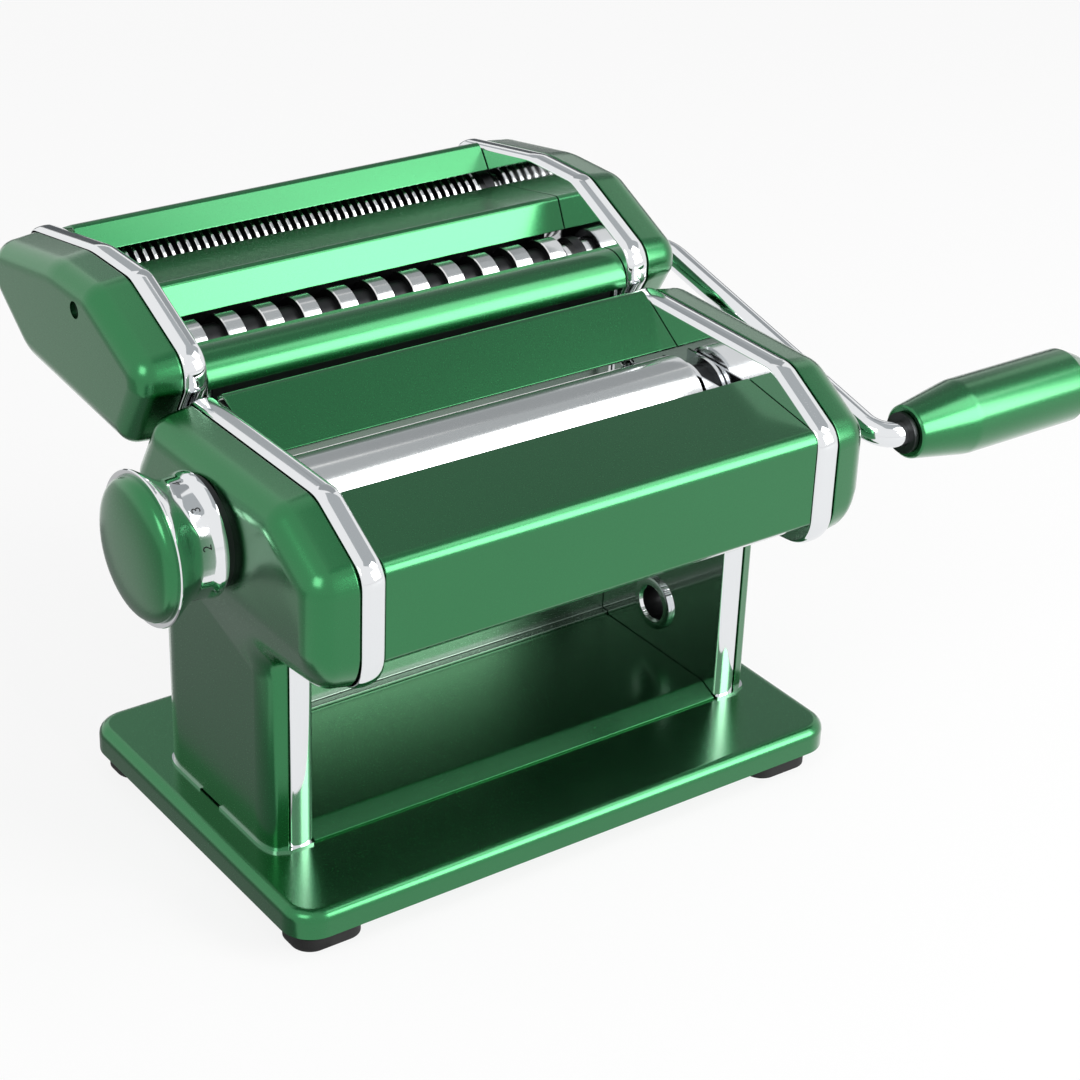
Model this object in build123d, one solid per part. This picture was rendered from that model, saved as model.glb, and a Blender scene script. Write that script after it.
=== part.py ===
"""Hand-cranked pasta roller machine with a detachable cutter unit.

Millimetres, +Z up, +Y towards the back, +X towards the crank side. Outlines are drawn in the Y-Z plane
about the middle of the base plate's top face and extruded along X. At the end everything moves so that
the origin lies on the exit shelf below the rear roller.
"""
from build123d import *
import math
import os

# Fits
RUN_FIT = 0.05          # radial play of a shaft in its bush
SLIP = 0.3              # free play between sliding or fixed neighbours
PLATE_PLAY = 0.2        # each end of a cross plate to the side frame

# Side frames: chromed pressed steel, a flat wall with an out-turned flange
SHEET_WIDTH = 150.0
FRAME_WALL = 1.5
FLANGE_WIDTH = 6.0
FLANGE_WALL = 1.2
BEND_RADIUS = 1.0
INNER = SHEET_WIDTH / 2
FRAME_OUT = INNER + FRAME_WALL
FLANGE_OUT = FRAME_OUT + FLANGE_WIDTH

# Outline of the main side frame
LEG_FRONT = -35.0
LEG_BACK = 30.0
UNDERSIDE_BACK = 66.4
UNDERSIDE_FRONT = 70.6
FRONT_Y = -73.0
FRONT_TOP = 108.4
SHOULDER_Y = -48.6
BODY_TOP = 122.7
SEAT_TOP_Y = 20.0
SEAT_LOW_Y = 32.0
SEAT_LOW_Z = 102.4
BODY_POINTS = [(LEG_FRONT, 0), (LEG_FRONT, UNDERSIDE_BACK), (FRONT_Y, UNDERSIDE_FRONT), (FRONT_Y, FRONT_TOP),
               (SHOULDER_Y, BODY_TOP), (SEAT_TOP_Y, BODY_TOP), (SEAT_LOW_Y, SEAT_LOW_Z), (LEG_BACK, 0)]
BODY_RADII = [0, 4, 12, 8, 12, 5, 10, 0]

# Outline of the cutter unit's side frame
SEAT_GAP = 1.5
NOSE_Y = SEAT_TOP_Y + SEAT_GAP
NOSE_LOW = BODY_TOP + 0.7
NOSE_TOP = 133.4
CUTTER_TOP = 148.4
CUTTER_TOP_FRONT = 54.0
CUTTER_TOP_BACK = 78.0
CUTTER_BACK = 121.0
CUTTER_BACK_TOP = 140.9
CUTTER_BACK_LOW = 124.0
CUTTER_LOW_BACK_Y = 98.0
CUTTER_LOW_BACK_Z = 107.4
CUTTER_POINTS = [(NOSE_Y, NOSE_TOP), (CUTTER_TOP_FRONT, CUTTER_TOP), (CUTTER_TOP_BACK, CUTTER_TOP),
                 (CUTTER_BACK, CUTTER_BACK_TOP), (CUTTER_BACK, CUTTER_BACK_LOW),
                 (CUTTER_LOW_BACK_Y, CUTTER_LOW_BACK_Z), (SEAT_LOW_Y + SEAT_GAP, SEAT_LOW_Z), (NOSE_Y, NOSE_LOW)]
CUTTER_RADII = [5, 8, 30, 6, 14, 18, 5, 5]

# Domed aluminium covers outside the frames
COVER_WALL = 1.5
COVER_INSET = 0.8
SHADOW_GAP = 0.7
COVER_DEPTH = 13.8
LEG_DEPTH = 5.8
COVER_TAPER = 12.0
COVER_EDGE = 6.0
LEG_EDGE = 3.6
SLOPE_TOP = 86.0
SLOPE_LOW = 57.0
LIP_LENGTH = 5.0
COVER_START = FLANGE_OUT + SHADOW_GAP
COVER_FACE = COVER_START + COVER_DEPTH
LEG_FACE = COVER_START + LEG_DEPTH

# Base plate and feet
BASE_MARGIN = 6.7
BASE_WIDTH = 2 * (LEG_FACE + BASE_MARGIN)
BASE_DEPTH = 124.0
BASE_HEIGHT = 12.6
BASE_CORNER = 9.0
BASE_EDGE = 4.0
BASE_WALL = 1.5
FOOT_HEIGHT = 4.0
FOOT_LENGTH = 22.0
FOOT_DEPTH = 16.0
FOOT_CORNER = 6.0
FOOT_INSET = 1.0

# Fixings of the legs
LEG_SCREW_R = 1.9
LEG_SCREW_HEAD_R = 3.5
LEG_SCREW_HEAD = 2.0
LEG_SCREW_Y = (-24.0, 20.0)

# Rollers
ROLLER_R = 14.0
ROLLER_END_GAP = 6.0
ROLLER_LENGTH = 2 * (INNER - ROLLER_END_GAP)
GAP_WIDEST = 4.8
GAP_TRAVEL = 4.2
NIP_TILT = 20.0
REAR_Y = -14.0
REAR_Z = 99.4
JOURNAL_R = 5.0
SOCKET_R = 6.5
SOCKET_BORE_R = 4.1
SOCKET_DEPTH = 12.5
SOCKET_SLOT = 2.4
SOCKET_SLOT_DEPTH = 4.0
BUSH_INSIDE = 4.2
BUSH_OUTSIDE = 1.5
BUSH_START = INNER - BUSH_INSIDE
BUSH_END = FRAME_OUT + BUSH_OUTSIDE
BUSH_WALL = 2.5
SCRAPER_ANGLE = -60.0
SCRAPER_SWEEP = 14.3
NIP_SPAN = 2 * ROLLER_R + GAP_WIDEST
NIP_DIR = (-math.cos(math.radians(NIP_TILT)), -math.sin(math.radians(NIP_TILT)))
REAR_AXIS = (REAR_Y, REAR_Z)
FRONT_AXIS = (REAR_Y + NIP_SPAN * NIP_DIR[0], REAR_Z + NIP_SPAN * NIP_DIR[1])
SOCKET_END = COVER_FACE - 0.5

# Roller gears: long teeth that stay in mesh over the whole gap travel
GEAR_TEETH = 10
GEAR_GAP = 0.5
GEAR_START = BUSH_END + GEAR_GAP
GEAR_WIDTH = 6.0
GEAR_TIP_R = 17.0
GEAR_ROOT_R = 11.0
GEAR_TIP_WIDTH = 1.5
GEAR_ROOT_WIDTH = 2.6

# Thickness dial
DIAL_NECK_R = 18.3
DIAL_WAIST_R = 17.2
DIAL_RIM_R = 22.4
DIAL_LENGTH = 17.2
DIAL_GAP = 2.3
DIAL_WALL = 2.2
DIAL_DOME = 5.5
DIAL_WEB = 3.0
DIAL_SHAFT_R = 5.0
DIAL_SHAFT_HEAD_R = 8.6
DIAL_TRAVEL = 5.0
INDEX_R = 16.5
INDEX_PLATE = 1.8
INDEX_COUNT = 10
INDEX_PCR = 12.0
INDEX_HOLE_R = 1.4
INDEX_BOSS_R = 8.0
INDEX_BOSS_LENGTH = 10.0
DIAL_NECK_LENGTH = 6.0
DIAL_WAIST_LENGTH = 5.2
DIAL_WAIST_RISE = 0.9
DIAL_RIM_BEVEL = 0.5
DIAL_RIM_WIDTH = 1.8
DIAL_CAP_SEAT = 3.4
CAM_R = 9.0
CAM_OFFSET = 2.1
CAM_WIDTH = 3.0
SPRING_WIRE_R = 0.5
SPRING_R = DIAL_SHAFT_R + SLIP + SPRING_WIRE_R
SPRING_TURNS = 4

# Folded cover plates
PLATE = 1.2
PLATE_BEND = 4.0
FRONT_FACE_Y = FRONT_Y + 1.4
FRONT_EDGE = (-38.5, 114.8)
FRONT_BEND_Z = 109.2
FRONT_LOW_Z = 79.4
HOPPER_LOW = (-3.6, 111.3)
HOPPER_TOP = (14.5, 123.2)
HOPPER_LIP = (17.5, 121.0)
PANEL_Y = 26.0
PANEL_TOP = 96.0
SHELF_FRONT = -33.0
SHELF_HEIGHT = 3.5
SHELF_SLOPE = 2.5
GUIDE_INSIDE = 5.4
GUIDE_START = INNER - GUIDE_INSIDE
GUIDE_WALL = 0.8

# Clamp eyelet in the right leg
EYELET_Y = -1.5
EYELET_Z = 19.8
EYELET_BORE_R = 5.5
EYELET_R = 7.0
EYELET_FLANGE_R = 9.0
EYELET_FLANGE = 1.2

# Tie rods and the cutter unit's rails
TIE_R = 4.0
TIE_POINTS = [(-61.0, 77.0), (6.0, 68.0)]
RAIL_LOW = 70.0
RAIL_TOP = 97.0
RAIL_WALL = 1.2
RAIL_FLOOR = 1.5
RAIL_DEPTH = 3.8
TONGUE_WALL = 1.4
PAD_FRONT = 25.5
PAD_LOW = 116.5
PAD_TOP = 122.0
PAD_TOE = 5.0

# Cutters
CUTTER_R = 9.2
CUTTER_CORE_R = 6.6
CUTTER_END_GAP = 5.0
CUTTER_SPAN = 2 * (INNER - CUTTER_END_GAP)
WIDE_PITCH = 13.0
FINE_PITCH = 3.0
RING_PLAY = 0.18
GROOVE_PLAY = 0.55
CUTTER_PLATE = 1.0
CUTTER_CREASE = 1.6
WIDE_CLEAR = 5.3
WIDE_LIFT = 0.6
WIDE_TILT = 31.7
FINE_CLEAR = 4.7
FINE_LIFT = 2.4
FINE_TILT = 12.3
CUTTER_CENTRES = CUTTER_R + CUTTER_CORE_R + GROOVE_PLAY
NOSE_FACE_Y = NOSE_Y + CUTTER_CREASE
REAR_FACE_Y = CUTTER_BACK - CUTTER_CREASE
WIDE_FRONT = (NOSE_FACE_Y + CUTTER_PLATE + WIDE_CLEAR + CUTTER_R, SEAT_LOW_Z + WIDE_LIFT + CUTTER_R)
WIDE_REAR = (WIDE_FRONT[0] + CUTTER_CENTRES * math.cos(math.radians(WIDE_TILT)),
             WIDE_FRONT[1] + CUTTER_CENTRES * math.sin(math.radians(WIDE_TILT)))
FINE_REAR = (REAR_FACE_Y - CUTTER_PLATE - FINE_CLEAR - CUTTER_R, CUTTER_BACK_LOW + FINE_LIFT)
FINE_FRONT = (FINE_REAR[0] - CUTTER_CENTRES * math.cos(math.radians(FINE_TILT)),
              FINE_REAR[1] - CUTTER_CENTRES * math.sin(math.radians(FINE_TILT)))
CUTTER_AXES = [WIDE_REAR, WIDE_FRONT, FINE_REAR, FINE_FRONT]
DRIVEN_AXES = [WIDE_REAR, FINE_REAR]
CUTTER_JOURNAL_R = 4.0
CUTTER_SOCKET_R = 6.2
CUTTER_BUSH_WALL = 1.6
CUTTER_BUSH_INSIDE = 1.8
CUTTER_BUSH_START = INNER - CUTTER_BUSH_INSIDE
CUTTER_GEAR_TEETH = 10
CUTTER_GEAR_WIDTH = 2.8
CUTTER_TOOTH_TIP = 0.72
CUTTER_TOOTH_ROOT = 1.18
CUTTER_GEAR_TIP_R = CUTTER_CENTRES / 2 + CUTTER_TOOTH_TIP
CUTTER_GEAR_ROOT_R = CUTTER_CENTRES / 2 - CUTTER_TOOTH_ROOT
CUTTER_GEAR_TIP_WIDTH = 1.4
CUTTER_GEAR_ROOT_WIDTH = 2.0

# Cutter unit plates
NOSE_EDGE = (36.0, 130.6)
NOSE_BEND = (NOSE_FACE_Y, 134.0)
NOSE_FOOT = (NOSE_FACE_Y, 120.5)
RIDGE_FRONT = (57.3, 129.9)
RIDGE_CREST = (61.5, 139.0)
RIDGE_BACK = (91.0, 133.4)
REAR_EDGE = (101.0, 136.1)
REAR_CREST = (106.2, 143.4)
REAR_FOLD = (REAR_FACE_Y, 140.0)
REAR_FOOT = (REAR_FACE_Y, 122.0)
WIDE_COMB_EDGES = [(-3.0, -11.0), (1.5, -15.8)]
FINE_COMB_EDGES = [(-7.5, -11.8), (-6.9, -16.8)]
CUTTER_TIE_LOW = 111.0
CUTTER_TIE_HIGH = 128.0
CUTTER_TIE_R = 3.0
COVER_SCREW = (61.2, 137.7)
COVER_SCREW_R = 1.5
COVER_SCREW_HEAD_R = 2.6
COVER_SCREW_HEAD = 1.6

# Crank
ROD_R = 4.0
ROD_BEND = 12.0
GRIP_BEND = 8.0
ARM_OUTSIDE = 13.0
ARM_X = COVER_FACE + ARM_OUTSIDE
ARM_REACH = (-114.0, -25.7)
PIN_R = 1.0
PIN_LENGTH = 12.0
GRIP_STANDOFF = 10.0
GRIP_START = ARM_X + GRIP_STANDOFF
GRIP_LENGTH = 73.0
GRIP_NEAR_R = 8.6
GRIP_R = 12.0
GRIP_CONE = 20.0
GRIP_BEVEL = 6.0
GRIP_END_R = 9.0
GRIP_FLOOR = 6.0
PLUG_R = 5.0
WASHER_R = 6.5
WASHER = 1.5
GRIP_AXIS = (WIDE_REAR[0] + ARM_REACH[0], WIDE_REAR[1] + ARM_REACH[1])


def slab(sketch, x_low, x_high):
    """Extrude a Y-Z sketch between two X stations."""
    return extrude(Plane.YZ.offset(x_low) * sketch, x_high - x_low)


def disc(centre, radius, x_low, x_high):
    """A round bar along X."""
    return slab(Pos(*centre) * Circle(radius), x_low, x_high)


def ring(centre, outer, inner, x_low, x_high):
    """A round tube along X."""
    return slab(Pos(*centre) * (Circle(outer) - Circle(inner)), x_low, x_high)


def mirrored(shape):
    """The same piece on the other side of the machine."""
    return mirror(shape, Plane.YZ)


def closed(points, radii):
    """A closed Y-Z outline with rounded corners."""
    line = FilletPolyline(*points, radius=radii, close=True) if radii else Polyline(*points, close=True)
    return make_face(line.edges())


def folded(points, bend, thickness, side):
    """Section of a sheet that is folded along a line of points."""
    path = FilletPolyline(*points, radius=bend) if len(points) > 2 else Line(*points)
    return make_face(offset(path, thickness, side=side).edges())


def cross_plate(section):
    """A plate that spans the two side frames."""
    reach = INNER - PLATE_PLAY
    return slab(section, -reach, reach)


def blade(points, thickness, reach):
    """A straight strip along X, set on edge between two points."""
    return slab(folded(points, 0, thickness, Side.RIGHT), -reach, reach)


def revolved(points, centre):
    """Turn an X-radius outline about an X axis through a Y-Z point."""
    face = make_face(Polyline(*points, close=True).edges())
    return Pos(0, *centre) * revolve(face, Axis.X, 360)


def gear(centre, x_low, width, teeth, tip, root, tip_width, root_width, bore, phase):
    """A spur gear with straight-sided teeth."""
    points = []
    for tooth in range(teeth):
        angle = 360 / teeth * (tooth + phase)
        for radius, half in ((root, -root_width), (tip, -tip_width), (tip, tip_width), (root, root_width)):
            turn = angle + math.degrees(math.asin(half / 2 / radius))
            points.append(Vector(radius, 0).rotate(Axis.Z, turn))
    face = make_face(Polyline(*points, close=True).edges()) - Circle(bore)
    return slab(Pos(*centre) * face, x_low, x_low + width)


def axis_angle(from_axis, to_axis):
    """Direction from one axis to another, in degrees in the Y-Z plane."""
    return math.degrees(math.atan2(to_axis[1] - from_axis[1], to_axis[0] - from_axis[0]))


def mesh_phase(from_axis, to_axis, teeth, gap):
    """Turn, in teeth, that puts a tooth or a gap on the line of centres."""
    return axis_angle(from_axis, to_axis) * teeth / 360 + (0.5 if gap else 0)


BODY_FACE = closed(BODY_POINTS, BODY_RADII)
CUTTER_FACE = closed(CUTTER_POINTS, CUTTER_RADII)


def flanged_frame(face):
    """Flat wall with a flange turned outwards all round, rounded at the bend."""
    rim = face - offset(face, -FLANGE_WALL)
    frame = slab(face, INNER, FRAME_OUT) + slab(rim, FRAME_OUT, FLANGE_OUT)
    inner_face = frame.faces().filter_by(Axis.X).sort_by(Axis.X)[0]
    return fillet(inner_face.outer_wire().edges(), BEND_RADIUS)


def gap_slot(radius):
    """Slot that lets the rear roller's bush move towards the front roller."""
    end = (REAR_Y + GAP_TRAVEL * NIP_DIR[0], REAR_Z + GAP_TRAVEL * NIP_DIR[1])
    bridge = Rectangle(GAP_TRAVEL, 2 * radius, align=(Align.MAX, Align.CENTER))
    return Pos(*REAR_AXIS) * (Circle(radius) + Rot(0, 0, NIP_TILT) * bridge) + Pos(*end) * Circle(radius)


def leg_screw_holes():
    """Clearance holes for the leg screws, through the base and the right leg's foot flange."""
    x = FRAME_OUT + FLANGE_WIDTH / 2
    return [Pos(x, y, 0) * Cylinder(LEG_SCREW_R + RUN_FIT, 4 * BASE_WALL) for y in LEG_SCREW_Y]


def side_frame(journal, eyelet):
    """Main side frame with its bush hole, gap slot, foot holes and, on the right, the clamp hole."""
    frame = flanged_frame(BODY_FACE)
    frame -= disc(FRONT_AXIS, journal + BUSH_WALL + RUN_FIT, INNER, FRAME_OUT)
    frame -= slab(gap_slot(journal + BUSH_WALL + RUN_FIT), INNER, FRAME_OUT)
    for hole in leg_screw_holes():
        frame -= hole
    if eyelet:
        frame -= disc((EYELET_Y, EYELET_Z), EYELET_R + RUN_FIT, INNER, FRAME_OUT)
    return frame


def leg_wedge(x_face, leg_face):
    """What is cut from a dome so that it slopes in to a flatter leg."""
    far = 2 * COVER_FACE
    wedge = Polyline((leg_face, -far), (far, -far), (far, SLOPE_TOP), (x_face, SLOPE_TOP),
                     (leg_face, SLOPE_LOW), close=True)
    return extrude(Plane.XZ * make_face(wedge.edges()), far, both=True)


def dome(face, leg_face):
    """Tapered, round-edged dome over an outline."""
    solid = extrude(Plane.YZ.offset(COVER_START) * offset(face, -COVER_INSET), COVER_DEPTH, taper=COVER_TAPER)
    solid = fillet(solid.faces().sort_by(Axis.X)[-1].outer_wire().edges(), COVER_EDGE)
    if leg_face is None:
        return solid
    solid -= leg_wedge(COVER_FACE, leg_face)
    leg = [f for f in solid.faces() if f.normal_at().X > 0.99 and f.center().Z < SLOPE_LOW]
    return fillet(leg[0].outer_wire().edges().filter_by(lambda e: abs(e.tangent_at(0.5).Z) > 0.9), LEG_EDGE)


def cover(face, leg_face):
    """Domed shell with a lip that slips inside the frame's flange."""
    lip_face = offset(face, -FLANGE_WALL - SLIP)
    hollow_face = offset(face, -FLANGE_WALL - SLIP - COVER_WALL)
    shell = dome(face, leg_face) + slab(lip_face, COVER_START - LIP_LENGTH, COVER_START)
    hollow = extrude(Plane.YZ.offset(COVER_START) * hollow_face, COVER_DEPTH - COVER_WALL, taper=COVER_TAPER)
    if leg_face is not None:
        hollow -= leg_wedge(COVER_FACE - COVER_WALL, leg_face - COVER_WALL)
    return shell - hollow - slab(hollow_face, COVER_START - LIP_LENGTH, COVER_START)


def left_side_cover():
    """Main cover on the dial side."""
    return mirrored(cover(BODY_FACE, LEG_FACE)) - disc(REAR_AXIS, INDEX_BOSS_R + RUN_FIT, -COVER_FACE, -LEG_FACE)


def right_side_cover():
    """Main cover on the crank side, with the roller socket's hole and the clamp hole."""
    shell = cover(BODY_FACE, LEG_FACE) - disc(FRONT_AXIS, SOCKET_R + SLIP, LEG_FACE, COVER_FACE)
    return shell - disc((EYELET_Y, EYELET_Z), EYELET_R + RUN_FIT, COVER_START, LEG_FACE)


def base_plate():
    """Pressed tray, open below, with rounded corners and a rounded top edge."""
    tray = extrude(RectangleRounded(BASE_WIDTH, BASE_DEPTH, BASE_CORNER), -BASE_HEIGHT)
    tray = fillet(tray.faces().sort_by(Axis.Z)[-1].edges(), BASE_EDGE)
    room = RectangleRounded(BASE_WIDTH - 2 * BASE_WALL, BASE_DEPTH - 2 * BASE_WALL, BASE_CORNER - BASE_WALL)
    hollow = extrude(Pos(0, 0, -BASE_WALL) * room, BASE_WALL - BASE_HEIGHT)
    hollow = fillet(hollow.faces().sort_by(Axis.Z)[-1].edges(), BASE_EDGE - BASE_WALL)
    tray -= hollow
    for hole in leg_screw_holes():
        tray -= hole
        tray -= mirrored(hole)
    return tray


def rubber_feet():
    """Corner pads, each on a block that fills the tray's corner."""
    pad_x = BASE_WIDTH / 2 - FOOT_INSET - FOOT_LENGTH / 2
    pad_y = BASE_DEPTH / 2 - FOOT_INSET - FOOT_DEPTH / 2
    block_play = 2 * BASE_EDGE
    feet = []
    for x_sign in (-1, 1):
        for y_sign in (-1, 1):
            spot = Pos(x_sign * pad_x, y_sign * pad_y, -BASE_HEIGHT)
            pad = extrude(RectangleRounded(FOOT_LENGTH, FOOT_DEPTH, FOOT_CORNER), -FOOT_HEIGHT)
            plan = RectangleRounded(FOOT_LENGTH - block_play, FOOT_DEPTH - block_play, FOOT_CORNER / 3)
            block = extrude(plan, BASE_HEIGHT - BASE_WALL)
            feet.append(spot * (pad + block))
    return Compound(feet)


def leg_screws():
    """Screws from below that hold the legs' foot flanges to the base."""
    x = FRAME_OUT + FLANGE_WIDTH / 2
    screws = []
    for x_sign in (-1, 1):
        for y in LEG_SCREW_Y:
            head = Pos(0, 0, -BASE_WALL) * extrude(Circle(LEG_SCREW_HEAD_R), -LEG_SCREW_HEAD)
            shank = Pos(0, 0, -BASE_WALL) * extrude(Circle(LEG_SCREW_R), BASE_WALL + FLANGE_WALL)
            screws.append(Pos(x_sign * x, y, 0) * (head + shank))
    return Compound(screws)


def front_cover():
    """Folded plate over the front roller: sloping top, upright front and a short lip below."""
    lip = (FRONT_FACE_Y + PLATE_BEND, FRONT_LOW_Z)
    points = [FRONT_EDGE, (FRONT_FACE_Y, FRONT_BEND_Z), (FRONT_FACE_Y, FRONT_LOW_Z), lip]
    return cross_plate(folded(points, [PLATE_BEND, PLATE], PLATE, Side.LEFT))


def hopper_back_plate():
    """Sloping plate that leads the dough onto the rear roller."""
    return cross_plate(folded([HOPPER_LOW, HOPPER_TOP, HOPPER_LIP], [PLATE], PLATE, Side.RIGHT))


def back_panel():
    """Upright panel between the legs, behind the rollers' outlet."""
    return cross_plate(folded([(PANEL_Y, 0), (PANEL_Y, PANEL_TOP)], 0, PLATE, Side.RIGHT))


def exit_shelf():
    """Low folded shelf between the legs, where the sheet lands."""
    back = PANEL_Y
    under = SHELF_HEIGHT - PLATE
    points = [(SHELF_FRONT, 0), (SHELF_FRONT + SHELF_SLOPE, SHELF_HEIGHT), (back, SHELF_HEIGHT), (back, 0),
              (back - PLATE, 0), (back - PLATE, under), (SHELF_FRONT + SHELF_SLOPE, under),
              (SHELF_FRONT + PLATE, 0)]
    return cross_plate(closed(points, 0))


def sheet_guide():
    """Thin guide beside the rollers' ends, under the front cover and the hopper plate."""
    low = REAR_Z - ROLLER_R / 2
    top = HOPPER_LOW[1] - PLATE
    face = closed([(FRONT_EDGE[0], top), (HOPPER_LOW[0], top), (HOPPER_LOW[0], low), (FRONT_EDGE[0], low)], 0)
    face -= gap_slot(JOURNAL_R + BUSH_WALL)
    face -= Pos(*FRONT_AXIS) * Circle(SOCKET_R + BUSH_WALL)
    return slab(face, GUIDE_START, GUIDE_START + GUIDE_WALL)


def tie_rods():
    """Round spacers between the side frames."""
    return Compound([disc(point, TIE_R, -INNER, INNER) for point in TIE_POINTS])


def polar(axis, radius, angle):
    """Point at a radius and an angle from an axis, in the Y-Z plane."""
    return (axis[0] + radius * math.cos(math.radians(angle)), axis[1] + radius * math.sin(math.radians(angle)))


def scraper(axis, bushes):
    """Blade close under a roller, on ears that sit on the roller's bushes."""
    far = ROLLER_R + BUSH_WALL + JOURNAL_R
    tip = polar(axis, ROLLER_R + SLIP, SCRAPER_ANGLE)
    heel = polar(axis, far, SCRAPER_ANGLE + SCRAPER_SWEEP)
    edge = blade([tip, heel], PLATE, BUSH_START)
    for sign, bush in zip((-1, 1), bushes):
        hub = Pos(*axis) * Circle(bush + BUSH_WALL)
        arm = Rectangle(far, BUSH_WALL + JOURNAL_R, align=(Align.MIN, Align.CENTER))
        arm = Pos(*axis) * Rot(0, 0, SCRAPER_ANGLE) * arm
        ear = slab(hub + arm - Pos(*axis) * Circle(bush + RUN_FIT), BUSH_START, BUSH_START + PLATE)
        edge += ear if sign > 0 else mirrored(ear)
    return edge


def bush_pair(axis, left_bore, right_bore):
    """Plain bushes in the left and right side frames."""
    left = ring(axis, left_bore + BUSH_WALL, left_bore + RUN_FIT, -BUSH_END, -BUSH_START)
    right = ring(axis, right_bore + BUSH_WALL, right_bore + RUN_FIT, BUSH_START, BUSH_END)
    return Compound([left, right])


def socket_cut(axis, end):
    """Blind crank socket with a cross slot in its mouth."""
    bore = disc(axis, SOCKET_BORE_R, end - SOCKET_DEPTH, end)
    slot = slab(Pos(*axis) * Rectangle(4 * SOCKET_R, SOCKET_SLOT), end - SOCKET_SLOT_DEPTH, end)
    return bore + slot


def front_roller():
    """Smooth driven roller; its right end is the crank socket."""
    half = ROLLER_LENGTH / 2
    roller = disc(FRONT_AXIS, ROLLER_R, -half, half)
    roller += disc(FRONT_AXIS, JOURNAL_R, -BUSH_END - 1, -half)
    roller += disc(FRONT_AXIS, SOCKET_R, half, SOCKET_END)
    return roller - socket_cut(FRONT_AXIS, SOCKET_END)


def rear_roller():
    """Smooth adjustable roller, moved by the thickness dial."""
    half = ROLLER_LENGTH / 2
    roller = disc(REAR_AXIS, ROLLER_R, -half, half)
    roller += disc(REAR_AXIS, JOURNAL_R, -BUSH_END, -half)
    return roller + disc(REAR_AXIS, SOCKET_R, half, GEAR_START + GEAR_WIDTH)


def roller_gear(axis, other, gap):
    """Roller gear on the crank side."""
    phase = mesh_phase(axis, other, GEAR_TEETH, gap)
    return gear(axis, GEAR_START, GEAR_WIDTH, GEAR_TEETH, GEAR_TIP_R, GEAR_ROOT_R, GEAR_TIP_WIDTH,
                GEAR_ROOT_WIDTH, SOCKET_R + RUN_FIT, phase)


DIAL_INNER = COVER_FACE + DIAL_GAP
DIAL_OUTER = DIAL_INNER + DIAL_LENGTH
WEB_IN = DIAL_INNER + DIAL_WALL
WEB_OUT = WEB_IN + DIAL_WEB
SPRING_END = WEB_OUT + DIAL_TRAVEL + (SPRING_TURNS + 1) * 2 * SPRING_WIRE_R
HEAD_END = SPRING_END + DIAL_WALL


def dial_ring():
    """Chromed ring of the dial: neck, waist and flared rim, with an inner web on the shaft."""
    waist = -DIAL_INNER - DIAL_NECK_LENGTH
    points = [(-DIAL_INNER, DIAL_NECK_R), (waist, DIAL_WAIST_R),
              (waist - DIAL_WAIST_LENGTH, DIAL_WAIST_R + DIAL_WAIST_RISE),
              (-DIAL_OUTER + DIAL_RIM_WIDTH, DIAL_RIM_R - DIAL_RIM_BEVEL),
              (-DIAL_OUTER, DIAL_RIM_R), (-DIAL_OUTER, DIAL_RIM_R - DIAL_WALL),
              (-DIAL_OUTER + DIAL_CAP_SEAT, DIAL_WAIST_R - DIAL_WALL), (-WEB_OUT, DIAL_WAIST_R - DIAL_WALL),
              (-WEB_OUT, DIAL_SHAFT_R + RUN_FIT), (-WEB_IN, DIAL_SHAFT_R + RUN_FIT),
              (-WEB_IN, DIAL_WAIST_R - DIAL_WALL), (-DIAL_INNER, DIAL_WAIST_R - DIAL_WALL)]
    pin_hole = disc((REAR_Y, REAR_Z + INDEX_PCR), INDEX_HOLE_R, -WEB_OUT, -WEB_IN)
    return revolved(points, REAR_AXIS) - pin_hole


def dial_cap():
    """Domed cap that closes the dial's rim."""
    rim = DIAL_RIM_R - DIAL_WALL - RUN_FIT
    crown = (rim ** 2 + DIAL_DOME ** 2) / (2 * DIAL_DOME)
    skirt = DIAL_WAIST_R - DIAL_WALL - RUN_FIT
    steps = 6
    dome_line = []
    for step in range(steps + 1):
        radius = rim * (1 - step / steps)
        dome_line.append((-DIAL_OUTER - DIAL_DOME + crown - math.sqrt(crown ** 2 - radius ** 2), radius))
    points = dome_line + [(-DIAL_OUTER - DIAL_DOME + DIAL_WALL, 0), (-DIAL_OUTER, skirt - DIAL_WALL),
                          (-DIAL_OUTER + DIAL_CAP_SEAT, skirt - DIAL_WALL), (-DIAL_OUTER + DIAL_CAP_SEAT, skirt)]
    return revolved(points, REAR_AXIS)


def dial_shaft():
    """Shaft that the dial slides on, with the head that holds the spring."""
    shaft = disc(REAR_AXIS, DIAL_SHAFT_R, -SPRING_END, -CAM_END)
    return shaft + disc(REAR_AXIS, DIAL_SHAFT_HEAD_R, -HEAD_END, -SPRING_END)


CAM_START = BUSH_END + SLIP
CAM_END = CAM_START + CAM_WIDTH


def dial_cam():
    """Eccentric disc at the shaft's inner end, against the rear roller's bush."""
    return disc((REAR_Y + CAM_OFFSET, REAR_Z), CAM_R, -CAM_END, -CAM_START)


def dial_index_plate():
    """Plate with the ring of locating holes, and the boss that the shaft turns in."""
    plate = ring(REAR_AXIS, INDEX_R, DIAL_SHAFT_R + RUN_FIT, -COVER_FACE - INDEX_PLATE, -COVER_FACE)
    for place in range(INDEX_COUNT):
        spot = Vector(0, INDEX_PCR).rotate(Axis.Z, 360 / INDEX_COUNT * place)
        plate -= disc((REAR_Y + spot.X, REAR_Z + spot.Y), INDEX_HOLE_R, -COVER_FACE - INDEX_PLATE, -COVER_FACE)
    boss = ring(REAR_AXIS, INDEX_BOSS_R, DIAL_SHAFT_R + RUN_FIT, -COVER_FACE, -COVER_FACE + INDEX_BOSS_LENGTH)
    return plate + boss


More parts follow.
